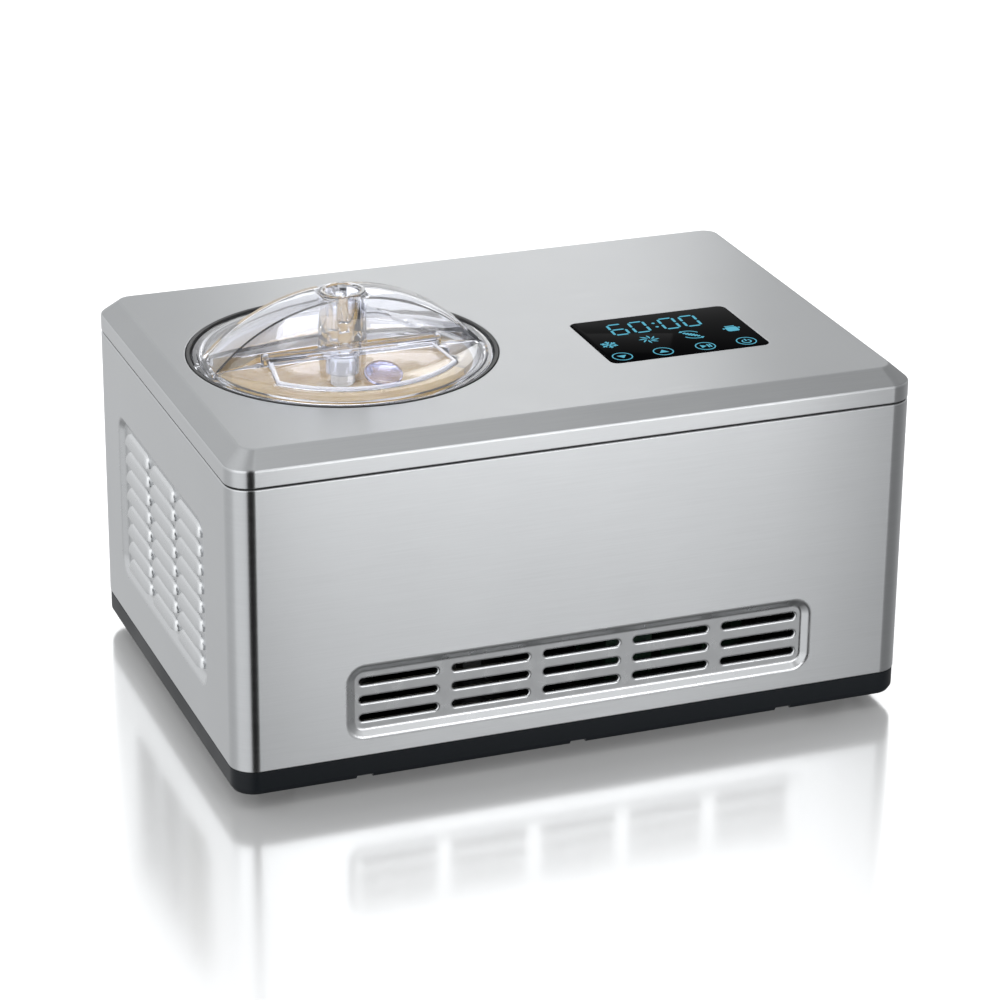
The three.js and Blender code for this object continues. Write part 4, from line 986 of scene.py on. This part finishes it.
def refill_flap():
    """Flap over the refill opening: a piece of the dome with hinge pins and a lifting tab."""
    made = piece("refill_door", Form().prism(flap_outline(-0.3), -8, 14), CLEAR, "flap",
                 ["refill_flap"])
    radii = [DOME_EDGE * i / 20 for i in range(21)]
    shell = [(r, dome_top(r) - LID_WALL) for r in radii] + [(r, dome_top(r))
                                                            for r in reversed(radii)]
    carve(made, Form().turn(shell, 144), "INTERSECT")
    hinge_z = hinge_height()
    end = FLAP_HALF - 0.3
    half = [(HINGE_RADIUS, end), (HINGE_PIN, end), (HINGE_PIN, end + 3), (0, end + 3)]
    rod = [(r, -z) for r, z in reversed(half)] + half
    carve(made, Form().turn(rod, 32, closed=False).turned_to_x(HINGE_Y, hinge_z), "UNION")
    web = Form().prism([(-end, HINGE_Y - 3.9), (end, HINGE_Y - 3.9), (end, HINGE_Y - 0.6),
                        (-end, HINGE_Y - 0.6)], hinge_z - HINGE_RADIUS, hinge_z - 0.2)
    carve(made, web, "UNION")
    bevel(made, 0.2)
    settle(made, CLEAR)
    rim = Form()
    inner, outer = flap_outline(-2.6), flap_outline(-0.5)
    crest = 1.0
    rings = []
    for loop, lift in ((outer, -0.6), (outer, crest * 0.7), (flap_outline(-1.0), crest),
                       (flap_outline(-2.0), crest), (inner, crest * 0.7), (inner, -0.6),
                       (outer, -0.6)):
        rings.append([(x, y, dome_top(hypot(x, y)) + lift) for x, y in loop])
    rim.loft(rings)
    piece("flap_rim", at_bowl(rim), FROSTED, "flap")
    tab_y = -FLAP_RADIUS + TAB_RADIUS + 1
    tilt = radians(20)
    disc = Form().turn([(0, -0.9), (TAB_RADIUS - 0.4, -0.9), (TAB_RADIUS, -0.5), (TAB_RADIUS, 0.5),
                        (TAB_RADIUS - 0.4, 0.9), (TAB_RADIUS - 1.6, 0.9), (TAB_RADIUS - 2.2, 0.5),
                        (0, 0.5)],
                       72, closed=False)
    tab = piece("flap_tab", disc, TINTED, "flap")
    z = dome_top(-tab_y) + TAB_RADIUS * sin(tilt) * 0.4 + 0.9
    tab.data.transform(Matrix.Translation(Vector((BOWL_AXIS[0] + TAB_X, BOWL_AXIS[1] + tab_y,
                                                  DECK + z)) * MM)
                       @ Matrix.Rotation(tilt, 4, "X"))
    dress(tab, TINTED)


# Display


def display():
    low, high = GLASS
    (cx, cy, _), (half_w, half_h, _) = middle_and_half(GLASS)
    form = Form()
    rings = []
    for grow, z in ((0, low.z), (0, high.z - 0.45), (-0.15, high.z - 0.12), (-0.5, high.z)):
        rings.append([(x, y, z) for x, y in rounded(half_w + grow, half_h + grow, 4.7 + grow, 10,
                                                    cx, cy)])
    form.solid(rings)
    piece("panel", form, PANEL_GLASS, "base", ["display_glass"], sharp=20)
    symbols(low.x, high.y, high.z)


def bar(start, end, width, taper=0.0):
    """A straight stroke with pointed ends if it tapers."""
    a, b = Vector(start), Vector(end)
    on = (b - a).normalized()
    side = Vector((-on.y, on.x)) * width / 2
    tip = on * taper
    points = [a, a + tip - side, b - tip - side, b, b - tip + side, a + tip + side]
    if not taper:
        points = [a - side, b - side, b + side, a + side]
    return [tuple(p) for p in points]


def arc(cx, cy, radius, start, end, width, steps=24):
    """A curved stroke between two angles in degrees."""
    angles = [radians(start + (end - start) * i / steps) for i in range(steps + 1)]
    outer = [(cx + (radius + width / 2) * cos(a), cy + (radius + width / 2) * sin(a))
             for a in angles]
    inner = [(cx + (radius - width / 2) * cos(a), cy + (radius - width / 2) * sin(a))
             for a in reversed(angles)]
    return outer + inner


def seven_segments(digit, x, y, w, h, slant):
    """Strokes of a seven-segment digit whose lower left corner is at (x, y)."""
    lit = {"0": "abcdef", "6": "acdefg"}[digit]
    m = h / 2
    ends = {"a": ((0, h), (w, h)), "b": ((w, m), (w, h)), "c": ((w, 0), (w, m)),
            "d": ((0, 0), (w, 0)),
            "e": ((0, 0), (0, m)), "f": ((0, m), (0, h)), "g": ((0, m), (w, m))}
    strokes = []
    for name in lit:
        (ax, ay), (bx, by) = ends[name]
        on = Vector((bx - ax, by - ay)).normalized() * 0.75
        a, b = Vector((ax, ay)) + on, Vector((bx, by)) - on
        stroke = bar(a, b, 1.6, 0.7)
        strokes.append([(x + u + slant * v, y + v) for u, v in stroke])
    return strokes


def symbols(left, back, top):
    """Backlit time, state icons and touch marks. Places are from the glass's rear left corner."""
    shapes = []
    for digit, x in (("6", 19.5), ("0", 33.5), ("0", 53.0), ("0", 67.0)):
        shapes += seven_segments(digit, x, -28, 9.4, 17.5, 0.06)
    shapes += [circle(1.05, 16, 49.2, v) for v in (-22.5, -16)]
    shapes += snowflake(9.5, -42, 5.4) + fan_icon(36, -41, 6.5) + stir_icon(63.5,
                                                                            -42) + jar_icon(91, -41)
    for x, mark in zip((9.5, 36, 63.5, 90.5), (down_mark, up_mark, play_mark, power_mark)):
        shapes += [arc(x, -63, 6, 0, 180, 0.7), arc(x, -63, 6, 180, 360, 0.7)] + mark(x, -63)
    form = Form()
    for shape in shapes:
        form.prism([(left + u, back + v) for u, v in shape], top + 0.02, top + 0.1)
    piece("display_symbols", form, GLOW, "base", sharp=20)


def snowflake(x, y, size):
    strokes = []
    for k in range(6):
        a = radians(90 + 60 * k)
        along = Vector((cos(a), sin(a)))
        side = Vector((-along.y, along.x))
        centre = Vector((x, y))
        strokes.append(bar(centre + along * 0.8, centre + along * size, 1.0))
        for s in (-1, 1):
            root = centre + along * size * 0.5
            strokes.append(bar(root, root + (along + side * s).normalized() * size * 0.38, 0.8))
    return strokes


def fan_icon(x, y, size):
    blades = []
    for k in range(8):
        a = radians(45 * k)
        outline = []
        for t, w in ((0.2, 0.0), (0.42, 0.75), (0.72, 1.0), (1.0, 0.0), (0.7, -0.35), (0.42, -0.3)):
            bend = a + t * 0.7
            outline.append((x + size * t * cos(bend) - w * sin(bend),
                            y + size * t * sin(bend) + w * cos(bend)))
        blades.append(outline)
    return blades


def stir_icon(x, y):
    shapes = [arc(x - 2, y - 1.5, 8.2, 30, 105, 0.8), arc(x + 2, y + 1.5, 8.2, 210, 285, 0.8)]
    for k in range(6):
        middle = Vector((x - 3.4 + 1.35 * k, y + 3.4 - 1.35 * k))
        reach = Vector((1.9, 1.1)) * (1 - abs(k - 2.5) * 0.16)
        shapes.append(bar(middle - reach, middle + reach, 1.5, 0.5))
    shapes += [[(x - 6.2, y + 5.4), (x - 4.1, y + 7.8), (x - 4.1, y + 4.6)],
               [(x + 6.2, y - 5.4), (x + 4.1, y - 7.8), (x + 4.1, y - 4.6)]]
    return shapes


def jar_icon(x, y):
    return [rounded(3.9, 3.6, 1.6, 5, x, y), bar((x - 3.2, y + 4.9), (x + 3.2, y + 4.9), 1.0),
            bar((x - 5.6, y + 1.4), (x - 4.4, y + 1.4), 1.6),
            bar((x + 4.4, y + 1.4), (x + 5.6, y + 1.4), 1.6)]


def down_mark(x, y):
    return [[(x - 3, y + 1.8), (x, y - 2.6), (x + 3, y + 1.8)]]


def up_mark(x, y):
    return [[(x - 3, y - 1.8), (x + 3, y - 1.8), (x, y + 2.6)]]


def play_mark(x, y):
    return [[(x - 2.8, y - 2.4), (x + 0.8, y), (x - 2.8, y + 2.4)],
            bar((x + 1.8, y - 2.4), (x + 1.8, y + 2.4), 0.9),
            bar((x + 3.3, y - 2.4), (x + 3.3, y + 2.4), 0.9)]


def power_mark(x, y):
    return [arc(x, y - 0.4, 2.7, 125, 415, 0.8), bar((x, y), (x, y + 3.4), 0.9)]


# Inner pieces

INNER = [
    (RUBBER, ["cover_gasket", *[f"compressor_mount_{i}" for i in range(1, 5)]]),
    (ZINC, ["pinion_shaft", "gear_bracket", *[f"foot_screw_{i}" for i in range(1, 5)]]),
    (BLACK_PLASTIC, ["display_frame", "gear_case", "gear_cover", "fan_frame", "fan_blades"]),
    (WHITE_PLASTIC, ["shaft_bush", "output_gear", "motor_pinion"]),
    (COPPER, ["evaporator_coil", "filter_drier", "suction_pipe", "discharge_pipe"]),
    (BLACK_PAINT, ["stirring_motor", "compressor", "fan_motor"]),
    (ALUMINIUM, ["board_bracket", "condenser"]),
    (CIRCUIT, ["display_board", "control_board"]),
    (FOAM, ["insulation_shell"]),
]


def inner_pieces():
    for finish, nodes in INNER:
        for node in nodes:
            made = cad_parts[node]
            made.data.materials.clear()
            made.data.materials.append(finish)


# Stage

CAMERA_PLACE = (-733.78, -1926.95, 978.47)
CAMERA_AZIMUTH, CAMERA_ELEVATION, CAMERA_ROLL = -20.94, 22.86, 0.56
LENS = 130.0


def camera():
    azimuth, elevation = radians(CAMERA_AZIMUTH), radians(CAMERA_ELEVATION)
    back = Vector((sin(azimuth) * cos(elevation), -cos(azimuth) * cos(elevation),
                   sin(elevation)))
    right = (-back).cross(Vector((0, 0, 1))).normalized()
    up = right.cross(-back)
    roll = radians(CAMERA_ROLL)
    axes = (cos(roll) * right + sin(roll) * up,
            cos(roll) * up - sin(roll) * right, back)
    made = linked("camera", bpy.data.cameras.new("camera"))
    made.data.lens, made.data.sensor_width = LENS, 36
    made.data.clip_start, made.data.clip_end = 0.05, 50
    made.matrix_world = placed(*CAMERA_PLACE) @ Matrix(axes).transposed().to_4x4()
    bpy.context.scene.camera = made


def floor():
    mesh = bpy.data.meshes.new("floor")
    mesh.from_pydata([(x, y, 0) for x, y in circle(12, 96)], [], [list(range(96))])
    made = linked("floor", mesh)
    made.visible_glossy = False
    surface = Finish("floor", Roughness=0.6, Base_Color=(0.88, 0.88, 0.88, 1),
                     Emission_Strength=0.3,
                     Emission_Color=(1, 1, 1, 1), Specular_IOR_Level=0.0)
    gloss = surface.node("BsdfGlossy", Roughness=0.16, Color=(1, 1, 1, 1))
    axes = surface.node("SeparateXYZ", Vector=surface.coordinates)
    beyond = []
    for axis, half in (("X", HALF_WIDTH), ("Y", HALF_DEPTH)):
        past = surface.math("SUBTRACT", surface.math("ABSOLUTE", axes.outputs[axis]), half * MM)
        beyond.append(surface.math("MAXIMUM", past, 0.0))
    away = surface.node("CombineXYZ", X=beyond[0], Y=beyond[1])
    distance = surface.node("VectorMath", {"operation": "LENGTH"}, i0=away.outputs[0])
    fade = surface.node("MapRange", i0=distance.outputs["Value"], i1=0.0, i2=0.9, i3=0.7, i4=0.1)
    surface.mix_in(fade.outputs[0], gloss)
    mesh.materials.append(surface.material)


# Brightness round the horizon. Angles are from the front, -Y, towards the left, -X, in degrees.
ROUND = [(-180, 1.0), (-150, 1.0), (-140, 0.7), (-110, 0.6), (-60, 0.4), (-37, 0.4), (-30, 0.62),
         (-26, 1.05), (-21, 1.2), (-16, 1.15), (-13, 0.95), (-10, 0.0), (19, 0.0), (23, 0.9),
         (40, 1.45),
         (75, 1.5), (95, 1.1), (130, 0.95), (150, 1.0), (180, 1.0)]
# Brightness from straight down to straight up, by the sine of the elevation.
UPWARD = [(-1, 0.25), (-0.7, 0.4), (-0.45, 0.72), (-0.3, 0.82), (0, 0.95), (0.3, 1.13), (0.6, 1.32),
          (0.8, 1.4), (1, 1.4)]
# Between these sines of the elevation, the brightness round the horizon evens out.
OVERHEAD = (0.83, 0.97)
BRIGHTEST = 1.5


def ramp(tree, factor, low, high, stops):
    """A soft curve through (place, brightness) stops."""
    span = add_node(tree, "MapRange", i0=factor, i1=low, i2=high)
    curve = add_node(tree, "FloatCurve", Value=span.outputs[0])
    points = curve.mapping.curves[0].points
    while len(points) > 2:
        points.remove(points[1])
    scaled = [((place - low) / (high - low), value / BRIGHTEST) for place, value in stops]
    points[0].location, points[1].location = scaled[0], scaled[-1]
    for spot in scaled[1:-1]:
        points.new(*spot)
    for point in points:
        point.handle_type = "AUTO_CLAMPED"
    curve.mapping.update()
    return math_node(tree, "MULTIPLY", curve.outputs[0], BRIGHTEST)


def studio():
    """Soft light from all round: bright panels and dark gaps at set bearings, brighter overhead."""
    world = bpy.data.worlds.new("studio")
    bpy.context.scene.world = world
    world.use_nodes = True
    tree = world.node_tree
    tree.nodes.clear()
    direction = add_node(tree, "TexCoord").outputs["Generated"]
    x, y, z = add_node(tree, "SeparateXYZ", i0=direction).outputs
    bearing = math_node(tree, "ARCTAN2", math_node(tree, "MULTIPLY", x, -1.0),
                        math_node(tree, "MULTIPLY", y, -1.0))
    around = ramp(tree, math_node(tree, "MULTIPLY", bearing, 180 / pi), -180, 180, ROUND)
    upward = ramp(tree, z, -1, 1, UPWARD)
    high = add_node(tree, "MapRange", {"interpolation_type": "SMOOTHSTEP"}, i0=z, i1=OVERHEAD[0],
                    i2=OVERHEAD[1])
    mix = add_node(tree, "Mix", i0=high.outputs[0], i2=around, i3=1.0)
    strength = math_node(tree, "MULTIPLY", mix.outputs[0], upward)
    soft = add_node(tree, "Background", i0=(0.985, 0.993, 1.0, 1), i1=strength)
    white = add_node(tree, "Background", i0=(1, 1, 1, 1), i1=1.05)
    seen = add_node(tree, "MixShader", i0=add_node(tree, "LightPath").outputs["Is Camera Ray"],
                    i1=soft.outputs[0], i2=white.outputs[0])
    add_node(tree, "OutputWorld", i0=seen.outputs[0])


def panel_light(name, place, target, size, power):
    """A rectangular soft light."""
    data = bpy.data.lights.new(name, "AREA")
    data.shape, data.energy = "RECTANGLE", power
    data.size, data.size_y = size
    made = linked(name, data)
    made.location = place
    made.rotation_euler = (Vector(target) - Vector(place)).to_track_quat("-Z", "Y").to_euler()
    made.visible_camera = False
    return made


# Building

camera()
floor()
studio()
panel_light("overhead", (-0.2, 0.1, 1.8), (0, 0, 0.15), (1.4, 1.0), 9).visible_glossy = False
panel_light("behind", (0.9, 2.35, 1.25), (0, 0, 0.22), (0.62, 0.9), 3.2)
panel_light("before", (0.22, -0.8, 0.22), (0.22, 0, 0.15), (0.5, 0.26), 1.3)
bpy.context.scene.view_settings.view_transform = "Standard"

for build in (housing_wrap, rear_panel, rear_screws, top_cover, base_tray, feet, mains_inlet,
              collar,
              bowl, well, shaft, paddle, ice_cream, lid, refill_flap, display, inner_pieces):
    build()
